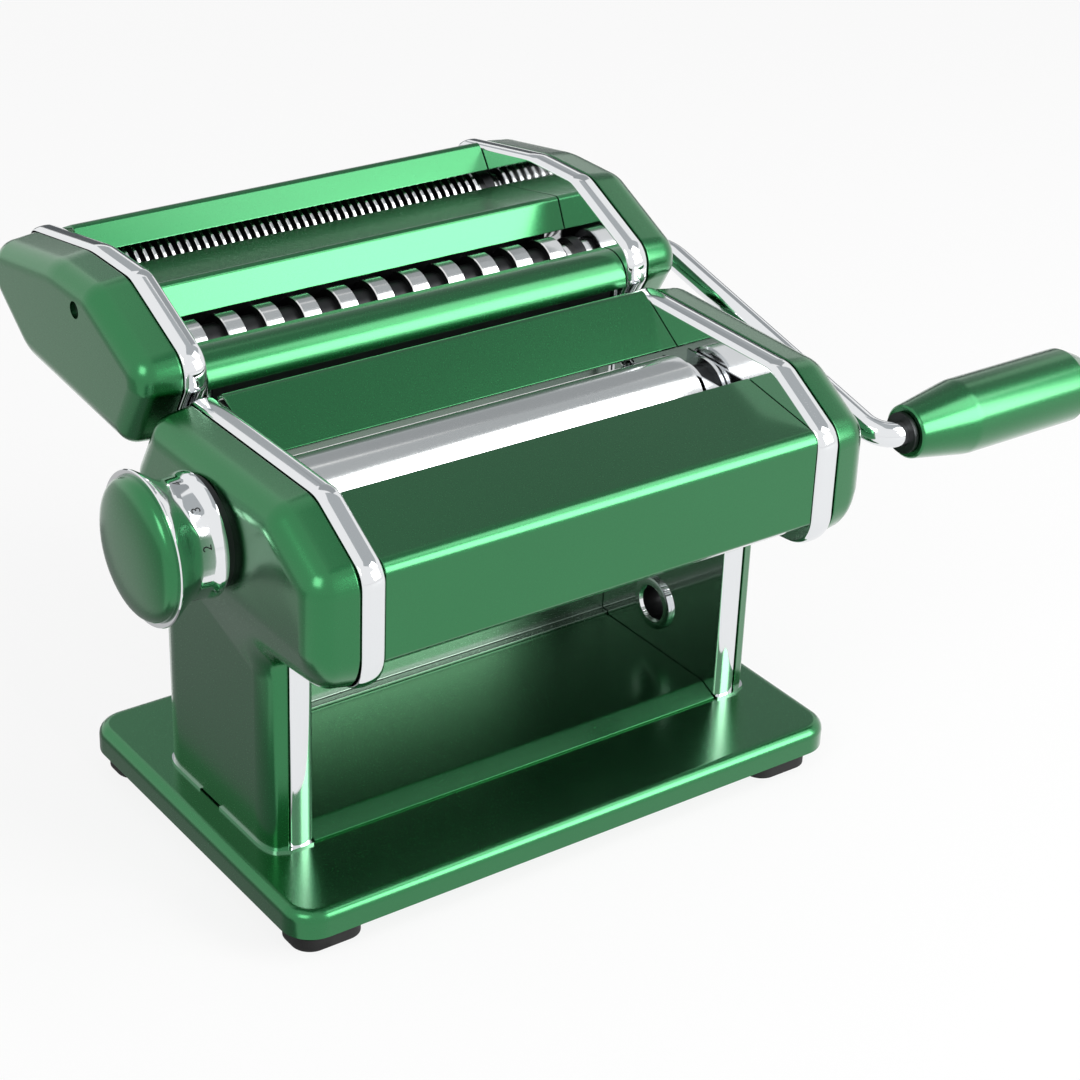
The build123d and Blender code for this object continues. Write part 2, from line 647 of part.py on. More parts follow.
def dial_pin():
    """Locating pin in the dial's web."""
    stop = COVER_FACE + INDEX_PLATE + SLIP
    return disc((REAR_Y, REAR_Z + INDEX_PCR), INDEX_HOLE_R - RUN_FIT, -WEB_OUT, -stop)


def dial_spring():
    """Coils that press the dial home, drawn as stacked rings at their real pitch."""
    pitch = (SPRING_END - WEB_OUT - 2 * SPRING_WIRE_R) / (SPRING_TURNS - 1)
    coils = []
    for turn in range(SPRING_TURNS):
        x = -WEB_OUT - SPRING_WIRE_R - turn * pitch
        coils.append(ring(REAR_AXIS, SPRING_R + SPRING_WIRE_R, SPRING_R - SPRING_WIRE_R, x - SPRING_WIRE_R,
                          x + SPRING_WIRE_R))
    return Compound(coils)


def clamp_eyelet():
    """Flanged tube through the right leg for the table clamp's pin."""
    centre = (EYELET_Y, EYELET_Z)
    tube = ring(centre, EYELET_R, EYELET_BORE_R, INNER, LEG_FACE + EYELET_FLANGE)
    return tube + ring(centre, EYELET_FLANGE_R, EYELET_BORE_R, INNER - EYELET_FLANGE, INNER)


TONGUE_BACK = PANEL_Y - RAIL_WALL - SLIP
TONGUE_FRONT = HOPPER_LIP[0] + PLATE + SLIP
TONGUE_WIDTH = TONGUE_BACK - TONGUE_FRONT
PAD_BACK = WIDE_FRONT[0] - CUTTER_GEAR_TIP_R - 2 * SLIP
TONGUE_IN = INNER - RAIL_DEPTH + RAIL_WALL
TONGUE_OUT = TONGUE_IN + TONGUE_WALL


def cutter_rail():
    """Channel inside a side frame that takes the cutter unit's tongue from above."""
    low = TONGUE_FRONT - SLIP - RAIL_WALL
    middle = (low + PANEL_Y) / 2
    outer = Pos(middle, 0) * Rectangle(PANEL_Y - low, RAIL_TOP - RAIL_LOW, align=(Align.CENTER, Align.MIN))
    slot = Pos(middle, RAIL_FLOOR) * Rectangle(TONGUE_WIDTH + 2 * SLIP, RAIL_TOP, align=(Align.CENTER, Align.MIN))
    rail = slab(Pos(0, RAIL_LOW) * outer, INNER - RAIL_DEPTH, INNER)
    return rail - slab(Pos(0, RAIL_LOW) * slot, INNER - RAIL_DEPTH, TONGUE_OUT + SLIP)


def cutter_frame(side):
    """Cutter unit's side frame, with bush holes and the tongue that drops into the rail."""
    frame = flanged_frame(CUTTER_FACE)
    bore = CUTTER_JOURNAL_R if side < 0 else CUTTER_SOCKET_R
    for axis in CUTTER_AXES:
        frame -= disc(axis, bore + CUTTER_BUSH_WALL + RUN_FIT, INNER, FRAME_OUT)
    tongue = closed([(TONGUE_FRONT, RAIL_LOW + RAIL_FLOOR), (TONGUE_BACK, RAIL_LOW + RAIL_FLOOR),
                     (TONGUE_BACK, RAIL_TOP), (PAD_BACK - SLIP, PAD_LOW - PAD_TOE), (PAD_BACK, PAD_LOW),
                     (PAD_BACK, PAD_TOP), (PAD_FRONT, PAD_TOP), (PAD_FRONT, PAD_LOW),
                     (TONGUE_BACK - TONGUE_WIDTH / 2, RAIL_TOP + PLATE), (TONGUE_FRONT, RAIL_TOP)], 0)
    pad = Pos(PAD_FRONT, PAD_LOW) * Rectangle(PAD_BACK - PAD_FRONT, PAD_TOP - PAD_LOW, align=(Align.MIN, Align.MIN))
    frame += slab(tongue, TONGUE_IN, TONGUE_OUT) + slab(pad, TONGUE_OUT, FRAME_OUT)
    return frame if side > 0 else mirrored(frame)


def cutter_cover(side):
    """Domed cover of the cutter unit, with a screw recess and, on the right, the socket holes."""
    shell = cover(CUTTER_FACE, None)
    shell -= disc(COVER_SCREW, COVER_SCREW_HEAD_R + RUN_FIT, COVER_START, COVER_FACE)
    if side < 0:
        return mirrored(shell)
    for axis in DRIVEN_AXES:
        shell -= disc(axis, CUTTER_SOCKET_R + SLIP, COVER_START, COVER_FACE)
    return shell


def cutter_cover_screws():
    """Screws through the cutter unit's covers, down to the side frames."""
    head_top = COVER_FACE - COVER_SCREW_R
    screw = disc(COVER_SCREW, COVER_SCREW_R, FRAME_OUT, head_top)
    screw += disc(COVER_SCREW, COVER_SCREW_HEAD_R, head_top - COVER_SCREW_HEAD, head_top)
    return Compound([screw, mirrored(screw)])


def cutter_nose():
    """Rounded front plate of the cutter unit, above the hopper plate."""
    return cross_plate(folded([NOSE_EDGE, NOSE_BEND, NOSE_FOOT], [PLATE_BEND], CUTTER_PLATE, Side.LEFT))


def cutter_ridge():
    """Roof-shaped plate between the two cutters."""
    return cross_plate(folded([RIDGE_FRONT, RIDGE_CREST, RIDGE_BACK], [PLATE], CUTTER_PLATE, Side.RIGHT))


def cutter_rear_plate():
    """Folded rear plate: sloping inner face, flat top and upright back."""
    points = [REAR_EDGE, REAR_CREST, REAR_FOLD, REAR_FOOT]
    return cross_plate(folded(points, [PLATE, PLATE_BEND], CUTTER_PLATE, Side.RIGHT))


def cutter_comb(axis, edges):
    """Scraper strip under a pair of cutters."""
    points = [(axis[0] + edge[0], axis[1] + edge[1]) for edge in edges]
    return blade(points, CUTTER_PLATE, INNER - PLATE_PLAY)


def cutter_tie_rods():
    """Spacers between the cutter unit's side frames."""
    middle = (WIDE_REAR[0] + FINE_FRONT[0]) / 2
    return Compound([disc((middle, z), CUTTER_TIE_R, -INNER, INNER) for z in (CUTTER_TIE_LOW, CUTTER_TIE_HIGH)])


def cutter_bushes():
    """Plain bushes for the cutters' journals."""
    bushes = []
    for axis in CUTTER_AXES:
        bushes.append(ring(axis, CUTTER_JOURNAL_R + CUTTER_BUSH_WALL, CUTTER_JOURNAL_R + RUN_FIT,
                           -BUSH_END, -CUTTER_BUSH_START))
        bushes.append(ring(axis, CUTTER_SOCKET_R + CUTTER_BUSH_WALL, CUTTER_SOCKET_R + RUN_FIT,
                           CUTTER_BUSH_START, BUSH_END))
    return Compound(bushes)


def cutter(axis, pitch, shifted, driven):
    """Ringed cutter: its rings run in the other cutter's grooves; a driven one ends in a crank socket."""
    half = CUTTER_SPAN / 2
    core = disc(axis, CUTTER_CORE_R, -half, half)
    width = pitch / 2 - 2 * RING_PLAY
    count = int(half / pitch)
    places = [(index + (0.5 if shifted else 0)) * pitch for index in range(-count, count + (0 if shifted else 1))]
    rings = [disc(axis, CUTTER_R, x - width / 2, x + width / 2) for x in places]
    body = core.fuse(*rings)
    body += disc(axis, CUTTER_JOURNAL_R, -BUSH_END, -half)
    if not driven:
        return body + disc(axis, CUTTER_SOCKET_R, half, BUSH_END)
    return body + disc(axis, CUTTER_SOCKET_R, half, SOCKET_END) - socket_cut(axis, SOCKET_END)


def cutter_gear(axis, other, gap):
    """Cutter gear on the dial side."""
    phase = mesh_phase(axis, other, CUTTER_GEAR_TEETH, gap)
    start = -CUTTER_SPAN / 2 - PLATE_PLAY - CUTTER_GEAR_WIDTH
    return gear(axis, start, CUTTER_GEAR_WIDTH, CUTTER_GEAR_TEETH, CUTTER_GEAR_TIP_R, CUTTER_GEAR_ROOT_R,
                CUTTER_GEAR_TIP_WIDTH, CUTTER_GEAR_ROOT_WIDTH, CUTTER_JOURNAL_R + RUN_FIT, phase)


def crank_rod():
    """Bent round rod: socket end, arm and the grip's axle."""
    tip = SOCKET_END - SOCKET_DEPTH + SLIP
    axle_end = GRIP_START + GRIP_LENGTH - GRIP_FLOOR - 1
    path = FilletPolyline((tip, *WIDE_REAR), (ARM_X, *WIDE_REAR), (ARM_X, *GRIP_AXIS), (axle_end, *GRIP_AXIS),
                          radius=[ROD_BEND, GRIP_BEND])
    return sweep(Plane(path @ 0, z_dir=path % 0) * Circle(ROD_R), path)


def crank_pin():
    """Cross pin that drives the socket's slot."""
    x = SOCKET_END - SOCKET_SLOT_DEPTH / 2
    bar = Pos(x, *WIDE_REAR) * Rot(90, 0, 0) * Cylinder(PIN_R, PIN_LENGTH)
    return bar - disc(WIDE_REAR, ROD_R, x - SOCKET_SLOT_DEPTH, x + SOCKET_SLOT_DEPTH)


def grip_washer():
    """Washer on the axle, in front of the grip."""
    return ring(GRIP_AXIS, WASHER_R, ROD_R + RUN_FIT, GRIP_START - SLIP - WASHER, GRIP_START - SLIP)


def crank_grip():
    """Turned grip: flared cone, cylinder and bevelled end, with a bore for the axle."""
    end = GRIP_START + GRIP_LENGTH
    points = [(GRIP_START, ROD_R + 2 * RUN_FIT), (GRIP_START, GRIP_NEAR_R), (GRIP_START + GRIP_CONE, GRIP_R),
              (end - GRIP_BEVEL, GRIP_R), (end, GRIP_END_R), (end, PLUG_R + RUN_FIT),
              (end - GRIP_FLOOR, PLUG_R + RUN_FIT), (end - GRIP_FLOOR, ROD_R + 2 * RUN_FIT)]
    return revolved(points, GRIP_AXIS)


def grip_plug():
    """Plug that closes the grip's far end."""
    end = GRIP_START + GRIP_LENGTH
    return disc(GRIP_AXIS, PLUG_R, end - GRIP_FLOOR, end)


PARTS = {
    "base_plate": base_plate(),
    "rubber_feet": rubber_feet(),
    "left_side_frame": mirrored(side_frame(JOURNAL_R, False)),
    "right_side_frame": side_frame(SOCKET_R, True),
    "leg_screws": leg_screws(),
    "left_side_cover": left_side_cover(),
    "right_side_cover": right_side_cover(),
    "front_cover": front_cover(),
    "hopper_back_plate": hopper_back_plate(),
    "back_panel": back_panel(),
    "exit_shelf": exit_shelf(),
    "left_sheet_guide": mirrored(sheet_guide()),
    "right_sheet_guide": sheet_guide(),
    "tie_rods": tie_rods(),
    "front_scraper": scraper(FRONT_AXIS, (JOURNAL_R + BUSH_WALL, SOCKET_R + BUSH_WALL)),
    "front_roller_bushes": bush_pair(FRONT_AXIS, JOURNAL_R, SOCKET_R),
    "clamp_eyelet": clamp_eyelet(),
    "left_cutter_rail": mirrored(cutter_rail()),
    "right_cutter_rail": cutter_rail(),
    "front_roller": front_roller(),
    "front_roller_gear": roller_gear(FRONT_AXIS, REAR_AXIS, False),
    "rear_roller": rear_roller(),
    "rear_roller_gear": roller_gear(REAR_AXIS, FRONT_AXIS, True),
    "rear_roller_bushes": bush_pair(REAR_AXIS, JOURNAL_R, SOCKET_R),
    "rear_scraper": scraper(REAR_AXIS, (JOURNAL_R + BUSH_WALL, SOCKET_R + BUSH_WALL)),
    "dial_ring": dial_ring(),
    "dial_cap": dial_cap(),
    "dial_pin": dial_pin(),
    "dial_spring": dial_spring(),
    "dial_shaft": dial_shaft(),
    "dial_cam": dial_cam(),
    "dial_index_plate": dial_index_plate(),
    "cutter_left_frame": cutter_frame(-1),
    "cutter_right_frame": cutter_frame(1),
    "cutter_left_cover": cutter_cover(-1),
    "cutter_right_cover": cutter_cover(1),
    "cutter_cover_screws": cutter_cover_screws(),
    "cutter_nose": cutter_nose(),
    "cutter_ridge": cutter_ridge(),
    "cutter_rear_plate": cutter_rear_plate(),
    "wide_comb": cutter_comb(WIDE_REAR, WIDE_COMB_EDGES),
    "fine_comb": cutter_comb(FINE_REAR, FINE_COMB_EDGES),
    "cutter_tie_rods": cutter_tie_rods(),
    "cutter_bushes": cutter_bushes(),
    "wide_cutter_rear": cutter(WIDE_REAR, WIDE_PITCH, False, True),
    "wide_cutter_front": cutter(WIDE_FRONT, WIDE_PITCH, True, False),
    "fine_cutter_rear": cutter(FINE_REAR, FINE_PITCH, False, True),
    "fine_cutter_front": cutter(FINE_FRONT, FINE_PITCH, True, False),
    "wide_gear_rear": cutter_gear(WIDE_REAR, WIDE_FRONT, False),
    "wide_gear_front": cutter_gear(WIDE_FRONT, WIDE_REAR, True),
    "fine_gear_rear": cutter_gear(FINE_REAR, FINE_FRONT, False),
    "fine_gear_front": cutter_gear(FINE_FRONT, FINE_REAR, True),
    "crank_rod": crank_rod(),
    "crank_pin": crank_pin(),
    "grip_washer": grip_washer(),
    "crank_grip": crank_grip(),
    "grip_plug": grip_plug(),
}

ORIGIN = Pos(0, -REAR_Y, -SHELF_HEIGHT)
os.makedirs("parts", exist_ok=True)
for name, shape in PARTS.items():
    export_step(ORIGIN * shape, f"parts/{name}.step")
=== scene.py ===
"""Looks of a hand-cranked pasta machine with a lift-off cutter unit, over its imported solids."""
import bpy
import math
from mathutils import Matrix, Vector


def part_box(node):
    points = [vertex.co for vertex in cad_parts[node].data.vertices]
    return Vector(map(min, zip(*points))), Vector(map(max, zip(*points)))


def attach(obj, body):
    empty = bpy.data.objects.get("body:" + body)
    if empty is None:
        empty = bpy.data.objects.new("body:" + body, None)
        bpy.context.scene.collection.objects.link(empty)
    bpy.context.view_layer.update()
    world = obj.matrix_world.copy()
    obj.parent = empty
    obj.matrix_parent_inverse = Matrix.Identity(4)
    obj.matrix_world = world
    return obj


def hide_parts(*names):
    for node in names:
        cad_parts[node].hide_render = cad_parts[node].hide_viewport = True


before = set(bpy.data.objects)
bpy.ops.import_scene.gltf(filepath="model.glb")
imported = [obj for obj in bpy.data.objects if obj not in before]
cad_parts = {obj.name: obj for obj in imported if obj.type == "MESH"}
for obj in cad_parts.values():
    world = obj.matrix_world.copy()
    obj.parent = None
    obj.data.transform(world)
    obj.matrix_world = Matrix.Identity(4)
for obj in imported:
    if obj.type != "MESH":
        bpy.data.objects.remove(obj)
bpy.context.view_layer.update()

# Base plate: an aluminium tray, pressed with rounded corners and a rounded top edge, open below.
# It is bead-blasted and dyed green under a clear oxide film, with a soft and faintly grainy glow.
# The legs stand on it, screwed on from underneath.
MM = 0.001
BASE_CORNER_MM = 10
BASE_CORNER_STEPS = 10
BASE_EDGE_MM = 3.4
BASE_EDGE_STEPS = 6
BASE_SIDE_MM = 8.5
BASE_SPREAD_MM = 3.3
BASE_FRONT_MM = 4.2
BASE_WALL_MM = 1.5
SAME_LEVEL_M = 1e-5
BLAST_GRAIN_MM = 0.45
BLAST_DEPTH_MM = 0.04
BLAST_STRENGTH = 0.12
DYE_CLOUD_MM = 40
GREEN_DYE = ("#10703a", "#14763e")
SATIN_ROUGHNESS = (0.22, 0.3)
FILM_ROUGHNESS = 0.2


def linear(hex_colour):
    """Linear colour of an sRGB hex value."""
    channels = [int(hex_colour[place:place + 2], 16) / 255 for place in (1, 3, 5)]
    return [c / 12.92 if c <= 0.04045 else ((c + 0.055) / 1.055) ** 2.4 for c in channels] + [1.0]


def add_node(tree, kind, settings=None, inputs=None):
    """Add a shader node, set its options, and fill or link its sockets."""
    node = tree.nodes.new(kind)
    for name, value in (settings or {}).items():
        setattr(node, name, value)
    for socket, value in (inputs or {}).items():
        if isinstance(value, bpy.types.NodeSocket):
            tree.links.new(value, node.inputs[socket])
        else:
            node.inputs[socket].default_value = value
    return node


def bare_material(name):
    """A new material with an empty node tree."""
    material = bpy.data.materials.new(name)
    material.use_nodes = True
    material.node_tree.nodes.clear()
    return material, material.node_tree


def noise(tree, grain_mm, detail=2.0, stretch=None):
    """Noise with a grain of a real size, in the piece's own coordinates."""
    place = add_node(tree, "ShaderNodeTexCoord").outputs["Object"]
    if stretch:
        mapping = add_node(tree, "ShaderNodeMapping", None, {"Vector": place, "Scale": stretch})
        place = mapping.outputs["Vector"]
    inputs = {"Vector": place, "Scale": 1 / (grain_mm * MM), "Detail": detail}
    return add_node(tree, "ShaderNodeTexNoise", None, inputs).outputs["Fac"]


def spread(tree, value, limits):
    """Carry a noise value over to a range of roughness."""
    inputs = {"Value": value, "To Min": limits[0], "To Max": limits[1]}
    return add_node(tree, "ShaderNodeMapRange", None, inputs).outputs["Result"]


def blend(tree, factor, shades):
    """Mix two sRGB shades by a noise value."""
    inputs = {"Factor": factor, "A": linear(shades[0]), "B": linear(shades[1])}
    return add_node(tree, "ShaderNodeMix", {"data_type": "RGBA"}, inputs).outputs["Result"]


def relief(tree, height, strength, depth_mm):
    """Bump from a noise value, with a real depth."""
    inputs = {"Height": height, "Strength": strength, "Distance": depth_mm * MM}
    return add_node(tree, "ShaderNodeBump", None, inputs).outputs["Normal"]


def end_in_surface(tree, inputs):
    """Close a material with one principled surface."""
    surface = add_node(tree, "ShaderNodeBsdfPrincipled", None, inputs)
    add_node(tree, "ShaderNodeOutputMaterial", None, {"Surface": surface.outputs["BSDF"]})


def satin_anodised(name, dye):
    """Bead-blasted aluminium, dyed under a clear film."""
    material, tree = bare_material(name)
    grain = noise(tree, BLAST_GRAIN_MM, detail=3.0)
    end_in_surface(tree, {"Base Color": blend(tree, noise(tree, DYE_CLOUD_MM), dye),
                          "Metallic": 1.0, "Roughness": spread(tree, grain, SATIN_ROUGHNESS),
                          "Normal": relief(tree, grain, BLAST_STRENGTH, BLAST_DEPTH_MM),
                          "Coat Weight": 1.0, "Coat Roughness": FILM_ROUGHNESS})
    return material


def take_up(piece, body, slot_name, material, *nodes):
    """Put a finished piece on its body, with its finish and the solids that it stands for."""
    piece.data.materials.clear()
    piece.data.materials.append(material)
    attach(piece, body)
    if nodes:
        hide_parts(*nodes)


def apply_modifier(piece, kind, **settings):
    """Add a modifier and apply it at once."""
    modifier = piece.modifiers.new(kind.lower(), kind)
    for name, value in settings.items():
        setattr(modifier, name, value)
    bpy.context.view_layer.objects.active = piece
    bpy.ops.object.modifier_apply(modifier=modifier.name)


def select_only(piece):
    """Leave edit mode, deselect all else and make this piece the active one."""
    if bpy.context.mode != "OBJECT":
        bpy.ops.object.mode_set(mode="OBJECT")
    bpy.ops.object.select_all(action="DESELECT")
    piece.select_set(True)
    bpy.context.view_layer.objects.active = piece


def smooth(piece, angle=35):
    """Shade round stretches smooth and keep flats flat."""
    select_only(piece)
    bpy.ops.object.shade_smooth_by_angle(angle=math.radians(angle))
    apply_modifier(piece, "WEIGHTED_NORMAL", keep_sharp=True, weight=90)


def edit_select(piece, picks):
    """Enter edit mode with only those vertices selected for which picks is true."""
    select_only(piece)
    bpy.ops.object.mode_set(mode="EDIT")
    bpy.ops.mesh.select_mode(type="VERT")
    bpy.ops.mesh.select_all(action="DESELECT")
    bpy.ops.object.mode_set(mode="OBJECT")
    for vertex in piece.data.vertices:
        vertex.select = picks(vertex.co)
    bpy.ops.object.mode_set(mode="EDIT")


green_anodised = satin_anodised("green_satin_anodised_aluminium", GREEN_DYE)
base_low, base_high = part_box("base_plate")
base_middle = (base_low + base_high) / 2
tray_low = Vector((base_low.x - BASE_SPREAD_MM * MM, base_low.y - BASE_FRONT_MM * MM,
                   base_high.z - BASE_SIDE_MM * MM))
tray_high = base_high + Vector((BASE_SPREAD_MM * MM, 0, 0))
tray_size = tray_high - tray_low
bpy.ops.object.select_all(action="DESELECT")
bpy.ops.mesh.primitive_cube_add(size=1, location=(tray_low + tray_high) / 2, scale=tray_size)
base = bpy.context.object
base.name = "base_tray"
bpy.ops.object.transform_apply()
bpy.ops.object.mode_set(mode="EDIT")
bpy.ops.mesh.select_mode(type="EDGE")
bpy.ops.mesh.select_all(action="DESELECT")
bpy.ops.object.mode_set(mode="OBJECT")
for edge in base.data.edges:
    ends = [base.data.vertices[end].co for end in edge.vertices]
    edge.select = abs(ends[0].z - ends[1].z) > tray_size.z / 2
bpy.ops.object.mode_set(mode="EDIT")
bpy.ops.mesh.bevel(offset=BASE_CORNER_MM * MM, segments=BASE_CORNER_STEPS)
edit_select(base, lambda co: co.z < tray_low.z + SAME_LEVEL_M)
bpy.ops.mesh.delete(type="ONLY_FACE")
edit_select(base, lambda co: co.z > base_high.z - SAME_LEVEL_M)
bpy.ops.mesh.select_mode(type="EDGE")
bpy.ops.mesh.bevel(offset=BASE_EDGE_MM * MM, segments=BASE_EDGE_STEPS)
bpy.ops.object.mode_set(mode="OBJECT")
apply_modifier(base, "SOLIDIFY", thickness=BASE_WALL_MM * MM, offset=-1)
smooth(base)
take_up(base, "frame", "green_aluminium", green_anodised, "base_plate")

# Rubber feet: soft black pads, moulded with a fine grain and pushed up into the tray's corners.
# Each keeps its solid, whose narrower block stands against the underside of the tray's top.
RUBBER_GRAIN_MM = 0.6
RUBBER_DEPTH_MM = 0.1
RUBBER_STRENGTH = 0.3
RUBBER_SHADES = ("#121212", "#1c1c1c")
RUBBER_ROUGHNESS = 0.75


def dress(material, *nodes):
    """Give solids that already have the right shape their finish."""
    for node in nodes:
        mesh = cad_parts[node].data
        mesh.materials.clear()
        mesh.materials.append(material)


rubber, tree = bare_material("black_moulded_rubber")
pebble = noise(tree, RUBBER_GRAIN_MM)
end_in_surface(tree, {"Base Color": blend(tree, pebble, RUBBER_SHADES),
                      "Roughness": RUBBER_ROUGHNESS,
                      "Normal": relief(tree, pebble, RUBBER_STRENGTH, RUBBER_DEPTH_MM)})
dress(rubber, "rubber_feet")

# Side frames: pressed steel plates with a flange turned outwards all round, polished and chromed.
# Only the flange shows, as a bright strip with a crowned face that rounds off into the plate.
BODY_CORNERS = [(-35, 0), (30, 0), (32, 102.4), (20, 122.7), (-48.6, 122.7), (-73, 108.4),
                (-73, 70.6), (-35, 66.4)]
BODY_RADII = [0.3, 0.3, 10, 5, 12, 8, 12, 4]
ARC_STEPS = 10
LEAST_CORNER_MM = 2.4
WELD_M = 2e-6
WALL_IN_MM = 75
WALL_OUT_MM = 76.5
WALL_DRILL_MM = (WALL_IN_MM - 1, WALL_OUT_MM + 1)
DRILL_STEPS = 48
FLANGE_OUT_MM = 82.5
FLANGE_WALL_MM = 1.2
FLANGE_BEND_MM = 1
FLANGE_EDGE_MM = 0.3
CROWN_OUTER_MM = 1.05
CROWN_INNER_MM = 1.6
CROWN_STEPS = 14
FRONT_AXIS_MM = (-44.822, 88.182)
REAR_AXIS_MM = (-14, 99.4)
NEAR_GAP_MM = (-17.947, 97.964)
BUSH_HOLE_MM = {"left": 7.55, "right": 9.05}
EYELET_MM = (-1.5, 19.8)
EYELET_HOLE_MM = 7.05
CHROME_HAZE_MM = 6
CHROME_SHADE = "#e6e8ea"
CHROME_ROUGHNESS = (0.05, 0.09)


def spot(x, y, z):
    """A point in metres from millimetres along X, from the base's middle, and above its top."""
    return Vector((x * MM, y * MM + base_middle.y, z * MM + base_high.z))


def corner_arc(before, corner, after, radius):
    """Points of the arc that rounds a corner."""
    back, on = (before - corner).normalized(), (after - corner).normalized()
    half = math.acos(max(-1, min(1, back.dot(on)))) / 2
    centre = corner + (back + on).normalized() * radius / math.sin(half)
    start = (corner + back * radius / math.tan(half) - centre).normalized()
    end = (corner + on * radius / math.tan(half) - centre).normalized()
    return [centre + start.slerp(end, step / ARC_STEPS) * radius for step in range(ARC_STEPS + 1)]


def inset_corners(corners, radii, inset):
    """Corners and radii of an outline that is drawn in by an even amount."""
    count = len(corners)
    flats = [Vector(corner) for corner in corners]
    moved, rounds = [], []
    for place, radius in enumerate(radii):
        before, corner, after = flats[place - 1], flats[place], flats[(place + 1) % count]
        inward = (corner - before).normalized()
        outward = (after - corner).normalized()
        normals = [Vector((-way.y, way.x)) for way in (inward, outward)]
        bisector = normals[0] + normals[1]
        moved.append(corner + bisector * inset / (1 + normals[0].dot(normals[1])))
        if inward.x * outward.y - inward.y * outward.x > 0:
            rounds.append(max(radius - inset, min(radius, LEAST_CORNER_MM)))
        else:
            rounds.append(radius + inset)
    return moved, rounds


def outline_loop(corners, radii, inset, x):
    """Closed loop of points round an inset outline at one X station."""
    moved, rounds = inset_corners(corners, radii, inset)
    loop = []
    for place, radius in enumerate(rounds):
        after = moved[(place + 1) % len(moved)]
        arc = corner_arc(moved[place - 1], moved[place], after, radius)
        loop += [spot(x, point.x, point.y) for point in arc]
    return loop


def wrap(name, loops):
    """Skin a row of closed loops, all with as many points, and close the two ends."""
    bpy.ops.object.select_all(action="DESELECT")
    bpy.ops.mesh.primitive_grid_add(x_subdivisions=len(loops[0]), y_subdivisions=len(loops) - 1)
    piece = bpy.context.object
    piece.name = name
    across = len(loops[0]) + 1
    for row, loop in enumerate(loops):
        for column in range(across):
            piece.data.vertices[row * across + column].co = loop[column % len(loop)]
    bpy.ops.object.mode_set(mode="EDIT")
    bpy.ops.mesh.select_all(action="SELECT")
    bpy.ops.mesh.remove_doubles(threshold=WELD_M)
    bpy.ops.mesh.fill_holes(sides=0)
    bpy.ops.mesh.select_all(action="SELECT")
    bpy.ops.mesh.normals_make_consistent(inside=False)
    bpy.ops.object.mode_set(mode="OBJECT")
    return piece


def other_side(piece):
    """Turn a piece into its mirror image on the other side of the machine."""
    edit_select(piece, lambda co: True)
    bpy.ops.transform.resize(value=(-1, 1, 1), center_override=(0, 0, 0))
    bpy.ops.mesh.normals_make_consistent(inside=False)
    bpy.ops.object.mode_set(mode="OBJECT")


def cut_away(piece, bit):
    """Take a cutting body's shape out of a piece."""
    apply_modifier(piece, "BOOLEAN", operation="DIFFERENCE", solver="EXACT", object=bit)
    bpy.data.objects.remove(bit)


def drill(piece, x_low, x_high, y, z, radius):
    """Bore a round hole along X through a piece."""
    bpy.ops.object.select_all(action="DESELECT")
    bpy.ops.mesh.primitive_cylinder_add(vertices=DRILL_STEPS, radius=radius * MM,
                                        depth=(x_high - x_low) * MM,
                                        location=spot((x_low + x_high) / 2, y, z),
                                        rotation=(0, math.pi / 2, 0))
    cut_away(piece, bpy.context.object)


def flanged_plate(name, corners, radii):
    """Wall and out-turned flange of a side frame, on the crank side."""
    section = [(WALL_OUT_MM, FLANGE_WALL_MM + FLANGE_BEND_MM),
               (WALL_OUT_MM + FLANGE_EDGE_MM, FLANGE_WALL_MM + FLANGE_EDGE_MM),
               (WALL_OUT_MM + FLANGE_BEND_MM, FLANGE_WALL_MM),
               (FLANGE_OUT_MM - FLANGE_EDGE_MM, FLANGE_WALL_MM)]
    strip_half = (FLANGE_OUT_MM - WALL_IN_MM) / 2
    for step in range(CROWN_STEPS + 1):
        turn = math.pi * step / CROWN_STEPS
        depth = CROWN_OUTER_MM if 2 * step < CROWN_STEPS else CROWN_INNER_MM
        x = WALL_IN_MM + strip_half * (1 + math.cos(turn))
        section.append((x, depth * (1 - math.sin(turn))))
    return wrap(name, [outline_loop(corners, radii, inset, x) for x, inset in section])


chrome, tree = bare_material("bright_chrome_plate")
haze = noise(tree, CHROME_HAZE_MM)
end_in_surface(tree, {"Base Color": linear(CHROME_SHADE), "Metallic": 1.0,
                      "Roughness": spread(tree, haze, CHROME_ROUGHNESS)})
for side in ("left", "right"):
    plate = flanged_plate(f"{side}_frame_plate", BODY_CORNERS, BODY_RADII)
    for axis in (FRONT_AXIS_MM, REAR_AXIS_MM, NEAR_GAP_MM):
        drill(plate, *WALL_DRILL_MM, *axis, BUSH_HOLE_MM[side])
    if side == "right":
        drill(plate, *WALL_DRILL_MM, *EYELET_MM, EYELET_HOLE_MM)
    else:
        other_side(plate)
    smooth(plate)
    take_up(plate, "frame", "chromed_steel", chrome, f"{side}_side_frame")

# Side covers: deep-drawn aluminium domes that clip inside the flanges, with a wide rounded rim.
# The face slopes in to a flatter leg; holes take the dial, the crank socket and the clamp eyelet.
COVER_START_MM = 83.2
COVER_FACE_MM = 97
COVER_SHEET_MM = 1.5
COVER_FIT_MM = 1.5
CLIP_MM = 5
HOLLOW_CORNER_MM = 0.5
HOLLOW_INSETS_MM = (4.2, 3.1, 3)
ROLLED_EDGE_MM = [(-0.05, 1.5), (0, 1.2), (0.12, 0.92), (0.4, 0.8)]
RIM_MM = 8.5
RIM_STEPS = 10
LEG_FACE_MM = 89
SLOPE_TOP_MM = 86
SLOPE_LOW_MM = 57
LIP_MM = 0.7
COVER_DEPTH_MM = -14
BODY_COVER_CORNERS = [(-35, COVER_DEPTH_MM), (29.73, COVER_DEPTH_MM)] + BODY_CORNERS[2:]
